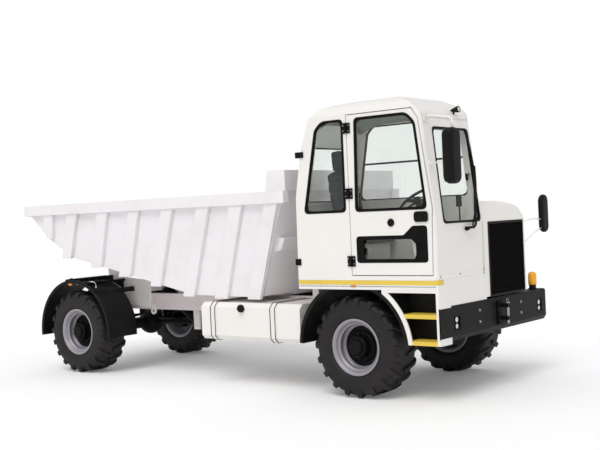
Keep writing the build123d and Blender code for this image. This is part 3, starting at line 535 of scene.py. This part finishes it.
# Headliner: a lining that follows the roof's crown and falls at the front and the rear, and a sun visor
LINING_Z = 2.903
columns, rows = 16, 8
line_x = [-0.40 + 1.18 * i / columns for i in range(columns + 1)]
grid = []
for x in line_x:
    for j in range(rows + 1):
        t = j / rows
        y = -1.075 + 0.822 * t
        side_drop = 0.0792 * abs(2 * t - 1) ** 4
        front_drop, rear_drop = 0.30 * max(0.0, x - 0.45) ** 2, 0.42 * max(0.0, 0.10 - x) ** 2
        grid.append(at(x, y, LINING_Z - side_drop - front_drop - rear_drop))
step = rows + 1
quads = [(i * step + j, i * step + j + 1, (i + 1) * step + j + 1, (i + 1) * step + j)
         for i in range(columns) for j in range(rows)]
liner = piece("roof_lining", grid, quads, lining_cloth, slot="seat", smooth=True)
thick = liner.modifiers.new("thickness", "SOLIDIFY")
thick.thickness = 0.012
visor = Shape().prism(rounded(rect((-1.04, -0.30), (2.64, 2.76)), 0.03), (-0.105, -0.085), screen_plane)
visor.make("sun_visor", lining_cloth, slot="seat", bevel=0.008, smooth=True)

# Dashboard and side console with gauges, levers and knobs
dash = Shape()
dash.prism([(0.700, 1.600), (0.800, 1.690), (0.958, 1.700), (0.958, 1.24), (0.770, 1.24)], (-1.078, -0.247),
           facing_side)
top = dash.make("dashboard_shell", dash_grey, bevel=0.022, smooth=True, steps=4)
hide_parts("dashboard")
gauges = Shape()
for y, r in ((-0.76, 0.038), (-0.66, 0.050), (-0.54, 0.038)):
    gauges.lathe([(0.0, r + 0.007), (0.014, r + 0.007), (0.014, r), (0.010, r), (0.010, 0)],
                 at(0.748, y, 1.652), (-0.66, 0, 0.75), sides=28)
for i in range(6):
    y = -0.98 + 0.032 * i
    gauges.box((0.86, 0.90), (y, y + 0.024), (1.694, 1.706))
gauges.box((0.866, 0.884), (-0.462, -0.378), (1.880, 1.990))
gauges.tube([at(0.880, -0.420, 1.694), at(0.878, -0.420, 1.890)], 0.008, 8)
gauges.make("gauges", black_plastic, bevel=0.001)
console_line = [(-0.16, 1.24), (0.56, 1.24), (0.56, 1.60), (0.40, 1.70), (-0.16, 1.66)]
console = Shape().prism(rounded(console_line, 0.05), (-0.245, -0.350), facing_side)
console.make("side_console", dash_grey, bevel=0.012, smooth=True, steps=3)
levers = Shape()
for x, lean in ((0.10, 0.03), (0.20, 0.00), (0.30, 0.05)):
    foot = at(x, -0.300, 1.685)
    head = foot + Vector((lean, -0.015, 0.150))
    levers.tube([foot, foot.lerp(head, 0.5) + Vector((0.006, 0, 0)), head], 0.007, 8)
    levers.lathe([(-0.022, 0.006), (-0.014, 0.017), (0.006, 0.021), (0.020, 0.012), (0.024, 0)], head,
                 (0, 0, 1), sides=16)
levers.make("console_levers", black_plastic, smooth=True)

# Steering wheel: padded rim, three spokes and a column; the floor mat
hub_at, column_foot = at(0.520, SEAT_Y, 1.960), at(0.735, SEAT_Y, 1.645)
WHEEL_RIM_R = 0.190
tilt = Matrix.Rotation(math.radians(-35), 3, "Y")
wheel_axis, wheel_across = tilt @ Vector((0, 0, 1)), tilt @ Vector((1, 0, 0))
wheel_side = Vector((0, 1, 0))
wheel = Shape()
rim_points = []
for k in range(49):
    turn = 2 * math.pi * k / 48
    rim_points.append(hub_at + WHEEL_RIM_R * (math.cos(turn) * wheel_across + math.sin(turn) * wheel_side))
wheel.tube(rim_points, 0.0145, 12)
for turn in (math.pi / 2, -math.pi / 2, math.pi):
    way = math.cos(turn) * wheel_across + math.sin(turn) * wheel_side
    for shift in (-0.014, 0.014):
        aside = way.cross(wheel_axis) * shift
        wheel.tube([hub_at + aside - wheel_axis * 0.012, hub_at + way * 0.09 + aside,
                    hub_at + way * 0.187 + aside * 0.6], 0.008, 8)
wheel.lathe([(-0.030, 0.034), (0.010, 0.046), (0.022, 0.042), (0.028, 0.026), (0.030, 0.0)], hub_at,
            wheel_axis, sides=32)
column = hub_at - wheel_axis * 0.03
wheel.tube([column, column.lerp(column_foot, 0.5), column_foot], 0.030, 20)
steering = wheel.make("steering_wheel_padded", black_plastic, smooth=True)
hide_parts("steering_wheel")
mat_shape = Shape().prism(rounded(rect((-0.56, 0.74), (-1.07, -0.26)), 0.04), (1.2405, 1.250), facing_up)
mat_shape.make("floor_mat", fender_rubber, slot="fender_rubber", bevel=0.002)


# Bumper: bolts, lamp units in the pockets, beacon, and the tow pin with its ring
BUMPER_X = 1.030


def on_bumper(u, v, d):
    """On the bumper's face: u is y, v the height, d is outward."""
    return at(BUMPER_X + d, u, v)


bolts = Shape()
for y in (-0.375, 0.525):
    for z in (0.844, 0.730):
        bolts.lathe([(-0.001, 0.017), (0.003, 0.017), (0.003, 0.012), (0.011, 0.012), (0.013, 0.009),
                     (0.013, 0)], at(BUMPER_X, y, z), (1, 0, 0), sides=6)
bolts.make("bumper_bolts", bolt_metal, slot="chrome", bevel=0.001)
housings, lenses = Shape(), Shape()
for y in (-0.820, 0.970):
    frame_line = rounded(rect((y - 0.068, y + 0.068), (0.692, 0.840)), 0.014)
    inner_line = rounded(rect((y - 0.056, y + 0.056), (0.704, 0.828)), 0.010)
    housings.ring(frame_line, inner_line, (-0.019, -0.001), on_bumper)
    housings.prism(inner_line, (-0.019, -0.014), on_bumper)
    for z, r in ((0.734, 0.025), (0.797, 0.027)):
        housings.lathe([(-0.014, r + 0.004), (-0.004, r + 0.004), (-0.004, r), (-0.010, r * 0.8),
                        (-0.010, 0)], at(BUMPER_X, y, z), (1, 0, 0), sides=28)
        lenses.lathe([(-0.011, r), (-0.005, r), (-0.002, r * 0.8), (0.0, r * 0.45), (0.0005, 0)],
                     at(BUMPER_X, y, z), (1, 0, 0), sides=28)
housings.make("headlamp_housings", black_plastic, bevel=0.001)
lenses.make("headlamp_lenses", lens_clear, slot="lamp", smooth=True)
beacon_at = at(0.950, 0.990, 0.936)
dome = Shape().lathe([(0.048, 0.042), (0.060, 0.047), (0.158, 0.046), (0.180, 0.038), (0.190, 0.022),
                      (0.193, 0)], beacon_at, (0, 0, 1), sides=36)
beacon = dome.make("amber_beacon", beacon_amber, slot="lamp", smooth=True)
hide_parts("lamps")
base = Shape().lathe([(0.0, 0.045), (0.012, 0.045), (0.016, 0.038), (0.042, 0.038), (0.050, 0.043),
                      (0.054, 0.038), (0.054, 0)], beacon_at, (0, 0, 1), sides=36)
base.make("beacon_base", black_plastic, bevel=0.0015)
pin_at = at(1.090, 0.110, 0.660)
pin = Shape().lathe([(0.0, 0.010), (0.008, 0.0172), (0.205, 0.0172), (0.208, 0.026), (0.220, 0.026),
                     (0.224, 0.020), (0.224, 0)], pin_at, (0, 0, 1), sides=24)
ring_at = at(1.090, 0.110, 0.896)
turns = [math.pi * k / 10 for k in range(21)]
pin.tube([ring_at + 0.019 * Vector((0, math.cos(turn), math.sin(turn))) for turn in turns], 0.004, 8)
pin.make("tow_pin", bolt_metal, slot="chrome", bevel=0.001, smooth=True)
plate_bolts = Shape()
for y in (0.010, 0.210):
    for z in (0.680, 0.780, 0.880):
        plate_bolts.lathe([(-0.001, 0.012), (0.009, 0.012), (0.011, 0.008), (0.011, 0)], at(1.046, y, z),
                          (1, 0, 0), sides=6)
plate_bolts.make("hitch_bolts", black_steel, slot="black_steel", bevel=0.001)

# Grille: a woven wire mesh in a frame
mesh_wires = Shape()
low_y, high_y, low_z, high_z = -0.083, 0.673, 0.963, 1.700
wire_pitch, wire = 0.021, 0.004
count_y, count_z = int((high_y - low_y) / wire_pitch), int((high_z - low_z) / wire_pitch)
for i in range(count_y + 1):
    y = low_y + i * wire_pitch
    mesh_wires.box((1.004, 1.0075), (y, y + wire), (low_z, high_z))
for i in range(count_z + 1):
    z = low_z + i * wire_pitch
    mesh_wires.box((1.0065, 1.010), (low_y, high_y), (z, z + wire))
mesh_wires.make("grille_wires", grille_black, slot="black_steel")
edge_line = rect((-0.085, 0.675), (0.960, 1.703))
frame_band = Shape().ring(rounded(grown(edge_line, 0.012), 0.012), rounded(grown(edge_line, -0.012), 0.01),
                          (1.007, 1.015), facing_front)
frame_band.make("grille_frame", black_steel, slot="black_steel", bevel=0.002)

# Windscreen wiper, roof work lamp, mirrors and their arms, rear side markers, panel screws
wiper = Shape()
wiper.lathe([(-0.004, 0.022), (0.020, 0.020), (0.034, 0.014), (0.036, 0)], screen_plane(-0.560, 1.662, 0.0),
            (1, 0, 0.11), sides=20)
# radius and sides, then the points of the arm, its stay and the blade: y, height, distance from the screen
wiper_tubes = [
    (0.0125, 10, [(-0.550, 1.672, 0.030), (-0.470, 1.672, 0.036), (-0.425, 1.700, 0.036),
                  (-0.385, 1.850, 0.034), (-0.315, 2.100, 0.036), (-0.286, 2.280, 0.034)]),
    (0.009, 10, [(-0.480, 1.690, 0.030), (-0.405, 1.800, 0.030), (-0.340, 2.060, 0.030),
                 (-0.300, 2.270, 0.028)]),
    (0.0125, 8, [(-0.365, 1.790, 0.016), (-0.318, 2.000, 0.018), (-0.284, 2.280, 0.020),
                 (-0.298, 2.460, 0.018), (-0.335, 2.640, 0.014)]),
]
for radius, sides, places in wiper_tubes:
    wiper.tube([screen_plane(*place) for place in places], radius, sides)
wiper.make("windscreen_wiper", black_plastic, smooth=True)
inside = Shape().lathe([(-0.012, 0.0), (-0.012, 0.030), (-0.004, 0.038), (0.006, 0.038), (0.008, 0.034),
                        (0.008, 0)], at(0.900, -0.290, 2.175), (-1, -0.4, -0.1), sides=28)
inside.tube([at(0.900, -0.290, 2.175), at(0.915, -0.255, 2.215), at(0.925, -0.222, 2.260)], 0.006, 8)
inside.make("inside_mirror", black_plastic, smooth=True)
lamp_at = at(0.915, -0.490, 2.838)
roof_lamp = Shape().lathe([(-0.045, 0.0), (-0.045, 0.012), (0.020, 0.030), (0.044, 0.034), (0.046, 0.029),
                           (0.040, 0.0)], lamp_at, (1, 0, 0.1), sides=28)
roof_lamp.tube([at(0.885, -0.490, 2.780), lamp_at], 0.009, 10)
roof_lamp.make("roof_work_lamp", black_plastic, smooth=True)
lamp_face = Shape().lathe([(0.040, 0.028), (0.045, 0.028), (0.048, 0.0)], lamp_at, (1, 0, 0.1), sides=28)
lamp_face.make("roof_lamp_lens", lens_clear, slot="lamp", smooth=True)
case_line = rounded(rect((-1.236, -1.046), (2.094, 2.614)), [0.075, 0.075, 0.07, 0.07], steps=10)
case = Shape().prism(case_line, (1.180, 1.289), facing_front)
mirror_case = case.make("mirror_case_right", black_plastic, bevel=0.038, smooth=True, steps=6)
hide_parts("mirror_right")
glass_line = rounded(rect((-1.220, -1.062), (2.110, 2.598)), 0.055, steps=8)
mirror_glass = Shape().prism(glass_line, (1.177, 1.181), facing_front)
mirror_glass.make("mirror_glass_right", mirror_silver, slot="chrome")
arms = Shape()
arms.tube([at(0.915, -1.060, 2.740), at(0.960, -1.068, 2.752), at(1.080, -1.095, 2.735),
           at(1.210, -1.120, 2.712), at(1.240, -1.126, 2.690), at(1.246, -1.128, 2.600)], 0.011, 12)
arms.tube([at(1.004, -1.080, 2.300), at(1.100, -1.100, 2.310), at(1.214, -1.118, 2.312)], 0.009, 12)
arms.lathe([(-0.002, 0.030), (0.006, 0.030), (0.010, 0.018), (0.010, 0)], at(0.953, -1.075, 2.300),
           (1, 0, 0.11), sides=20)
arms.tube([at(0.955, -1.075, 2.300), at(1.004, -1.080, 2.300)], 0.009, 12)
arms.make("mirror_arms_right", white, slot="cab_white", smooth=True)
bracket = Shape().prism(rounded(rect((-1.100, -1.010), (2.700, 2.800)), 0.015), (0.006, 0.012),
                        screen_plane)
for y, z in ((-1.080, 2.720), (-1.030, 2.730), (-1.050, 2.780)):
    bracket.lathe([(0.011, 0.009), (0.018, 0.009), (0.019, 0.0)], screen_plane(y, z, 0.0), (1, 0, 0.11),
                  sides=6)
bracket.make("mirror_bracket_right", white, slot="cab_white", bevel=0.001)
oval = rounded(rect((1.066, 1.222), (1.556, 1.974)), 0.076, steps=10)
left_case = Shape().prism(oval, (1.014, 1.072), facing_front)
left_mirror = left_case.make("mirror_case_left", black_plastic, bevel=0.024, smooth=True, steps=5)
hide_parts("mirror_left")
rods = Shape()
for z, out_z in ((1.690, 1.700), (1.470, 1.610)):
    rods.tube([at(0.985, 0.722, z), at(1.000, 0.760, z + 0.004), at(1.024, 0.930, (z + out_z) / 2 + 0.02),
               at(1.040, 1.090, out_z)], 0.0065, 10)
    rods.lathe([(-0.004, 0.020), (0.004, 0.020), (0.006, 0.012), (0.006, 0.0)], at(0.985, 0.724, z),
               (0, 1, 0), sides=18)
rods.make("mirror_arms_left", white, slot="cab_white", smooth=True)
glass_line = rounded(rect((1.080, 1.208), (1.576, 1.954)), 0.06, steps=8)
mirror_glass = Shape().prism(glass_line, (1.0115, 1.0145), facing_front)
mirror_glass.make("mirror_glass_left", mirror_silver, slot="chrome")
marker = Shape().box((-0.612, -0.512), (-1.148, -1.100), (2.452, 2.512))
for i in range(5):
    marker.box((-0.622, -0.612), (-1.134, -1.104), (2.456 + 0.011 * i, 2.461 + 0.011 * i))
marker.box((-0.668, -0.598), (-1.146, -1.100), (1.346, 1.412))
marker.box((-0.646, -0.616), (-1.152, -1.146), (1.366, 1.398))
marker.make("side_marker_rear", black_plastic, bevel=0.003)
screws = Shape()
for y, z in ((-1.070, 1.225), (-0.700, 1.230), (-0.225, 1.245)):
    screws.lathe([(-0.001, 0.010), (0.003, 0.009), (0.004, 0)], at(1.015, y, z), (1, 0, 0), sides=16)
screws.make("front_panel_screws", bolt_metal, slot="chrome", smooth=True)

# Sill: a white strip with punched holes, a marker lamp; the steps' studs and the arch's inner panel
sill = Shape().box((REAR_X, 1.024), (-1.1355, -1.1325), (1.102, 1.1490))
sill.make("sill_punched_strip", white, slot="cab_white", bevel=0.001)
holes = Shape()
for i in range(74):
    holes.lathe([(0.0022, 0.0062), (0.0034, 0.0062), (0.0034, 0)], at(-0.628 + 0.0222 * i, -1.1329, 1.134),
                (0, -1, 0), sides=10)
holes.make("sill_holes", black_steel, slot="black_steel")
sill_lamp = Shape().box((0.025, 0.085), (-1.143, -1.133), (1.126, 1.146))
sill_lamp.make("sill_marker_lamp", lamp_amber, slot="lamp", bevel=0.003)
studs, stud_pitch = Shape(), 0.028
for z, x_low, x_high in ((0.868, 0.650, 0.985), (0.612, 0.690, 0.985)):
    count = int((x_high - x_low) / stud_pitch)
    for i in range(count):
        for j in range(6):
            x = x_low + 0.014 + i * stud_pitch + (0.014 if j % 2 else 0.0)
            spot = at(x, -1.108 + j * 0.030, z)
            if spot.x < x_high + AXLE_X - 0.004:
                studs.lathe([(-0.001, 0.008), (0.003, 0.0065), (0.003, 0.004), (0.001, 0.0)], spot,
                            (0, 0, 1), sides=10)
studs.make("step_studs", yellow, slot="yellow", smooth=True)

arch = Shape().box((-0.42, 0.45), (-0.552, -0.546), (0.950, 1.190))
arch.box((0.575, 0.985), (-0.9305, -0.9275), (0.600, 1.120))
arch.make("arch_inner_panel", fender_rubber, slot="fender_rubber")

# Tank: its cap and the rubber edges of its straps
cap = Shape().lathe([(-0.020, 0.044), (0.004, 0.044), (0.010, 0.038), (0.018, 0.036), (0.022, 0.030),
                     (0.023, 0)], at(-1.500, -1.107, 0.875), (0, -1, 0), sides=12)
cap.make("fuel_cap", black_plastic, bevel=0.002)
strap_edges = Shape()
strap_line = [
    (-1.0915, 0.560), (-1.0485, 0.5125), (-0.46, 0.5125), (-0.46, 0.507), (-1.0510, 0.507),
    (-1.0975, 0.558), (-1.0975, 0.884), (-1.0395, 0.9425), (-0.46, 0.9425), (-0.46, 0.937),
    (-1.0370, 0.937), (-1.0915, 0.882),
]
for x in (-1.060, -1.930):
    for shift in (-0.034, 0.030):
        strap_edges.prism(strap_line, (x + shift, x + shift + 0.004), facing_front)
strap_edges.make("strap_edges", fender_rubber, slot="fender_rubber")

# Rear fenders: stay tubes with gussets, chrome hooks and amber markers; the tail lamps
for side, label in ((-1, "right"), (1, "left")):
    tubes, hooks = Shape(), Shape()
    for x, z in ((-4.430, 1.168), (-4.080, 1.128)):
        tubes.tube([at(x, side * 1.118, z - 0.004), at(x, side * 0.80, z),
                    at(x + 0.02, side * 0.470, z + 0.004)], 0.0165, 14)
        tubes.prism([(0.47, z - 0.004), (0.66, z - 0.004), (0.47, z - 0.120)], (x - 0.004, x + 0.004),
                    lambda u, v, d, side=side: at(d, side * u, v))
        arc = [at(x + 0.05 + 0.10 * t, side * (1.060 - 0.03 * math.sin(3.1 * t)),
                  z + 0.022 - 0.075 * t * t) for t in (0, 0.2, 0.4, 0.6, 0.8, 1.0)]
        hooks.tube([at(x, side * 1.060, z + 0.018)] + arc, 0.0055, 10)
        hooks.lathe([(-0.006, 0.012), (0.006, 0.012), (0.008, 0.008), (0.008, 0)], arc[-1], (0.6, 0, -0.8),
                    sides=14)
    tubes.make("rear_fender_tubes_" + label, black_steel, slot="black_steel", smooth=True)
    hooks.make("rear_fender_hooks_" + label, chrome, slot="chrome", smooth=True)
    edge_y, lamp_y = side * 1.128, side * 0.340
    marker = Shape().box((-4.372, -4.306), (edge_y - 0.006, edge_y + 0.006), (1.104, 1.130))
    marker.make("rear_marker_" + label, lamp_amber, slot="lamp", bevel=0.003)
    tail = Shape().box((-4.590, -4.560), (lamp_y - 0.10, lamp_y + 0.10), (0.790, 0.900))
    tail.make("tail_lamp_body_" + label, black_plastic, bevel=0.004)
    red = Shape().box((-4.596, -4.588), (lamp_y - 0.092, lamp_y + 0.020), (0.798, 0.892))
    red.make("tail_lamp_red_" + label, lamp_red, slot="lamp", bevel=0.003)
    amber = Shape().box((-4.596, -4.588), (lamp_y + 0.026, lamp_y + 0.092), (0.798, 0.892))
    amber.make("tail_lamp_amber_" + label, lamp_amber, slot="lamp", bevel=0.003)

# Underneath: shock absorbers with their rods, and spring clamps
for axle_x, label in ((0.0, "front"), (REAR_AXLE_X, "rear")):
    shocks, rods = Shape(), Shape()
    for side in (-1, 1):
        foot, head = at(axle_x + 0.085, side * 0.485, 0.540), at(axle_x + 0.170, side * 0.462, 0.840)
        shocks.tube([foot, foot.lerp(head, 0.55)], 0.031, 20).tube([foot.lerp(head, 0.50), head], 0.036, 20)
        rods.tube([foot - (head - foot) * 0.08, head + (head - foot) * 0.08], 0.012, 12)
        for lift in (0.0, 1.0):
            spot = foot.lerp(head, lift * 1.16 - 0.08)
            rods.lathe([(-0.020, 0.0), (-0.020, 0.024), (0.020, 0.024), (0.020, 0.0)], spot, (0, 1, 0),
                       sides=20)
        rods.tube([at(axle_x + 0.085, side * 0.485, 0.515), at(axle_x + 0.02, side * 0.485, 0.515)], 0.015,
                  10)
    shocks.make("shock_absorbers_" + label, black_steel, slot="black_steel", smooth=True)
    rods.make("shock_rods_" + label, bolt_metal, slot="chrome", smooth=True)
    clamps = Shape()
    for side in (-1, 1):
        for dx in (-0.05, 0.05):
            y = side * 0.405
            clamps.tube([at(axle_x + dx, y - 0.042, 0.500), at(axle_x + dx, y - 0.042, 0.690),
                         at(axle_x + dx, y + 0.042, 0.690), at(axle_x + dx, y + 0.042, 0.500)], 0.008, 8)
    clamps.make("spring_clamps_" + label, bolt_metal, slot="chrome", smooth=True)

# Bed: weld beads along the ribs and under the rail
LEAN, RAIL_Z, RIB_Y = math.radians(5.5), 2.003, 1.0565
# top x, top width, foot x, foot width, foot height of each rib
ribs = [
    (-4.766, 0.200, -4.782, 0.110, 1.712), (-4.284, 0.190, -4.490, 0.165, 1.445),
    (-3.708, 0.182, -3.942, 0.186, 1.330), (-3.147, 0.172, -3.440, 0.205, 1.213),
    (-2.579, 0.176, -2.918, 0.168, 1.100), (-2.010, 0.190, -2.386, 0.173, 0.988),
    (-1.512, 0.184, -1.884, 0.190, 0.970), (-1.009, 0.186, -1.392, 0.180, 0.970),
]
for side, label in ((-1, "right"), (1, "left")):
    beads = Shape()
    for top_x, top_w, low_x, low_w, low_z in ribs:
        for edge in (-0.5, 0.5):
            top_edge, low_edge = top_x + edge * top_w, low_x + edge * low_w
            line = []
            for k in range(7):
                t = 0.02 + 0.90 * k / 6
                z = RAIL_Z + (low_z + 0.03 - RAIL_Z) * t
                x = top_edge + (low_edge - top_edge) * (RAIL_Z - z) / (RAIL_Z - low_z)
                line.append(at(x, side * (RIB_Y - (RAIL_Z - z) * math.tan(LEAN)), z))
            beads.tube(line, 0.0045, 6)
    rail_line = [at(-5.20 + 4.36 * k / 12, side * 1.057, 2.0015) for k in range(13)]
    beads.tube(rail_line, 0.005, 6)
    beads.make("weld_beads_" + label, bed_paint, body="bed", slot="bed_white", smooth=True)

# Hood: latches on the left and hinge barrels at the rear
hood_bits, barrels = Shape(), Shape()
for x in (-0.25, 0.65):
    hood_bits.box((x - 0.03, x + 0.03), (0.719, 0.727), (1.610, 1.700))
    hood_bits.box((x - 0.018, x + 0.018), (0.726, 0.738), (1.630, 1.706))
hood_bits.make("hood_latches", black_plastic, bevel=0.003)
for y in (0.0, 0.26, 0.52):
    barrels.lathe([(-0.045, 0.0), (-0.045, 0.011), (0.045, 0.011), (0.045, 0.0)], at(-0.608, y, 1.715),
                  (0, 1, 0), sides=16)
barrels.make("hood_hinge_barrels", bolt_metal, slot="chrome", smooth=True)

# Seat: three upholstered pads with sewn channels, on a pale pedestal
SEAM_REACH, SEAM_DEPTH = 0.014, 0.007
VOXEL, PRESSURE, PUFF_FRAMES = 0.006, 4.0, 20


def pad(name, size, centre, lean, seams, swell=0.012):
    """A soft-cornered block, inflated as cloth, with its seams pressed in."""
    work = bmesh.new()
    bmesh.ops.create_cube(work, size=2.0)
    bmesh.ops.subdivide_edges(work, edges=work.edges, cuts=11, use_grid_fill=True)
    half = Vector(size) / 2 - Vector((swell, swell, swell)) * 0.6
    for vert in work.verts:
        x, y, z = vert.co
        ball = Vector((x * math.sqrt(1 - y * y / 2 - z * z / 2 + y * y * z * z / 3),
                       y * math.sqrt(1 - z * z / 2 - x * x / 2 + z * z * x * x / 3),
                       z * math.sqrt(1 - x * x / 2 - y * y / 2 + x * x * y * y / 3)))
        soft = vert.co.lerp(ball, 0.42)
        vert.co = Vector((soft.x * half.x, soft.y * half.y, soft.z * half.z)) * 1.10
    mesh = bpy.data.meshes.new(name)
    work.to_mesh(mesh)
    work.free()
    obj = placed(name, mesh)
    shell = obj.modifiers.new("even", "REMESH")
    shell.mode = "VOXEL"
    shell.voxel_size = VOXEL
    bpy.context.view_layer.objects.active = obj
    bpy.ops.object.modifier_apply(modifier="even")
    start = [v.co.copy() for v in obj.data.vertices]
    cloth = obj.modifiers.new("cloth", "CLOTH")
    cloth.settings.use_pressure = True
    cloth.settings.uniform_pressure_force = PRESSURE
    cloth.settings.effector_weights.gravity = 0.0
    cloth.settings.quality = 5
    cloth.point_cache.frame_start, cloth.point_cache.frame_end = 1, PUFF_FRAMES
    for step_frame in range(1, PUFF_FRAMES + 1):
        scene.frame_set(step_frame)
    evaluated = obj.evaluated_get(bpy.context.evaluated_depsgraph_get())
    puffed = [v.co.copy() for v in evaluated.data.vertices]
    obj.modifiers.remove(cloth)
    for vert, before, after in zip(obj.data.vertices, start, puffed):
        move = after - before
        vert.co = before + move * min(1.0, swell / max(move.length, 1e-6))
    scene.frame_set(1)
    obj.data.calc_loop_triangles()
    normals = [v.normal.copy() for v in obj.data.vertices]
    for vert, normal in zip(obj.data.vertices, normals):
        near = min([abs(vert.co[axis] - place) for axis, place in seams] + [1.0])
        if near < SEAM_REACH:
            vert.co -= normal * SEAM_DEPTH * (1 - near / SEAM_REACH) ** 0.7
    move_to = Matrix.Translation(centre) @ Matrix.Rotation(lean, 4, "Y")
    obj.data.transform(move_to)
    for face in obj.data.polygons:
        face.use_smooth = True
    obj.data.materials.append(seat_cloth)
    finer = obj.modifiers.new("finer", "SUBSURF")
    finer.levels = finer.render_levels = 1
    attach(obj, "root")
    return obj


cushion = pad("seat_cushion", (0.480, 0.480, 0.130), at(-0.120, SEAT_Y, 1.635), 0.0,
              [(1, -0.150), (1, 0.150), (0, 0.02), (0, -0.10), (0, 0.14)])
pad("seat_backrest", (0.118, 0.460, 0.620), at(-0.3475, SEAT_Y, 2.000), math.radians(-9.3),
    [(1, -0.150), (1, 0.150), (2, -0.16), (2, -0.04), (2, 0.08), (2, 0.19)])
pad("seat_headrest", (0.086, 0.260, 0.216), at(-0.3975, SEAT_Y, 2.412), math.radians(-5.3),
    [(1, -0.085), (1, 0.085)], swell=0.008)
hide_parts("seat")
stalks = Shape()
for y in (-0.06, 0.06):
    stalks.tube([at(-0.395, SEAT_Y + y, 2.20), at(-0.392, SEAT_Y + y, 2.36)], 0.007, 10)
stalks.make("headrest_stalks", bolt_metal, slot="chrome", smooth=True)
pedestal = Shape().prism(rounded(rect((-0.305, 0.065), (-0.835, -0.445)), 0.035), (1.262, 1.547), facing_up)
base_shape = pedestal.make("seat_pedestal", dash_grey, slot="cab_white", bevel=0.012, smooth=True, steps=3)
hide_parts("seat_base")
fittings = Shape().box((-0.19, -0.07), (-0.839, -0.833), (1.505, 1.520))
fittings.lathe([(0.0, 0.022), (0.006, 0.022), (0.010, 0.034), (0.026, 0.034), (0.030, 0.026), (0.030, 0.0)],
               at(0.010, -0.835, 1.470), (0, -1, 0), sides=20)
fittings.make("seat_controls", black_plastic, bevel=0.002)
plates = Shape().box((-0.320, 0.080), (-0.840, -0.440), (1.240, 1.262))
plates.box((-0.330, 0.090), (-0.850, -0.430), (1.547, 1.572))
for y in ((-0.890, -0.870), (-0.410, -0.390)):
    plates.box((-0.385, -0.335), y, (1.56, 1.78))
plates.make("seat_frame", black_steel, slot="black_steel", bevel=0.004)


# Floor and light: a pale studio floor that the camera sees as white, with the contact shadow kept
floor_mesh = bpy.data.meshes.new("floor")
floor_mesh.from_pydata([(-60, -60, 0), (60, -60, 0), (60, 60, 0), (-60, 60, 0)], [], [(0, 1, 2, 3)])
floor = placed("floor", floor_mesh)
floor_mat = bpy.data.materials.new("floor_pale")
floor_mat.use_nodes = True
floor_nodes, floor_links = floor_mat.node_tree.nodes, floor_mat.node_tree.links
floor_paint = floor_nodes["Principled BSDF"]
floor_noise = shader_node(floor_mat, "TexNoise", Scale=0.4)
floor_tint = color_mix(floor_mat, (0.96, 0.96, 0.96, 1), (0.98, 0.98, 0.98, 1))
join(floor_noise, "Fac", floor_tint, 0)
join(floor_tint, 2, floor_paint, "Base Color")
floor_paint.inputs["Roughness"].default_value = 0.9
lifted, glow = shader_node(floor_mat, "AddShader"), shader_node(floor_mat, "Emission", Strength=0.10)
join(floor_paint, 0, lifted, 0)
join(glow, 0, lifted, 1)
floor_pick, floor_rays = shader_node(floor_mat, "MixShader"), shader_node(floor_mat, "LightPath")
join(floor_rays, "Is Camera Ray", floor_pick, 0)
join(floor_paint, 0, floor_pick, 1)
join(lifted, 0, floor_pick, 2)
floor_links.new(floor_pick.outputs[0], floor_nodes["Material Output"].inputs["Surface"])
floor_mesh.materials.append(floor_mat)

world = bpy.data.worlds.new("studio")
scene.world = world
world.use_nodes = True
world_nodes, world_links = world.node_tree.nodes, world.node_tree.links
sky = world_nodes["Background"]
sky.inputs["Color"].default_value = (1, 1, 1, 1)
sky.inputs["Strength"].default_value = 0.62
seen = shader_node(world, "Background", Color=(1, 1, 1, 1))
rays, pick = shader_node(world, "LightPath"), shader_node(world, "MixShader")
join(rays, "Is Camera Ray", pick, 0)
join(sky, 0, pick, 1)
join(seen, 0, pick, 2)
world_links.new(pick.outputs[0], world_nodes["World Output"].inputs["Surface"])
sun_data = bpy.data.lights.new("key", "SUN")
sun_data.energy = 1.35
sun_data.angle = math.radians(35)
sun = placed("key", sun_data)
sun.rotation_euler = Vector((-0.25, 0.75, -1.0)).to_track_quat("-Z", "Y").to_euler()

# Camera: the photograph's place and lens
CAMERA_AT = (7.9764, -9.4475, 1.8793)
cam_data = bpy.data.cameras.new("camera")
camera = placed("camera", cam_data)
scene.camera = camera
cam_data.sensor_width = 36
cam_data.lens = 61.66
cam_data.clip_end = 200
yaw, pitch, roll = math.radians(38.467), math.radians(0.625), math.radians(-2.559)
forward = Vector((-math.sin(yaw) * math.cos(pitch), math.cos(yaw) * math.cos(pitch), -math.sin(pitch)))
level = Vector((math.cos(yaw), math.sin(yaw), 0))
upright = level.cross(forward)
right = math.cos(roll) * level + math.sin(roll) * upright
up = -math.sin(roll) * level + math.cos(roll) * upright
turn = Matrix((right, up, -forward)).transposed().to_4x4()
camera.matrix_world = Matrix.Translation(CAMERA_AT) @ turn

scene.render.resolution_x = 600
scene.render.resolution_y = 450
scene.view_settings.view_transform = "Standard"
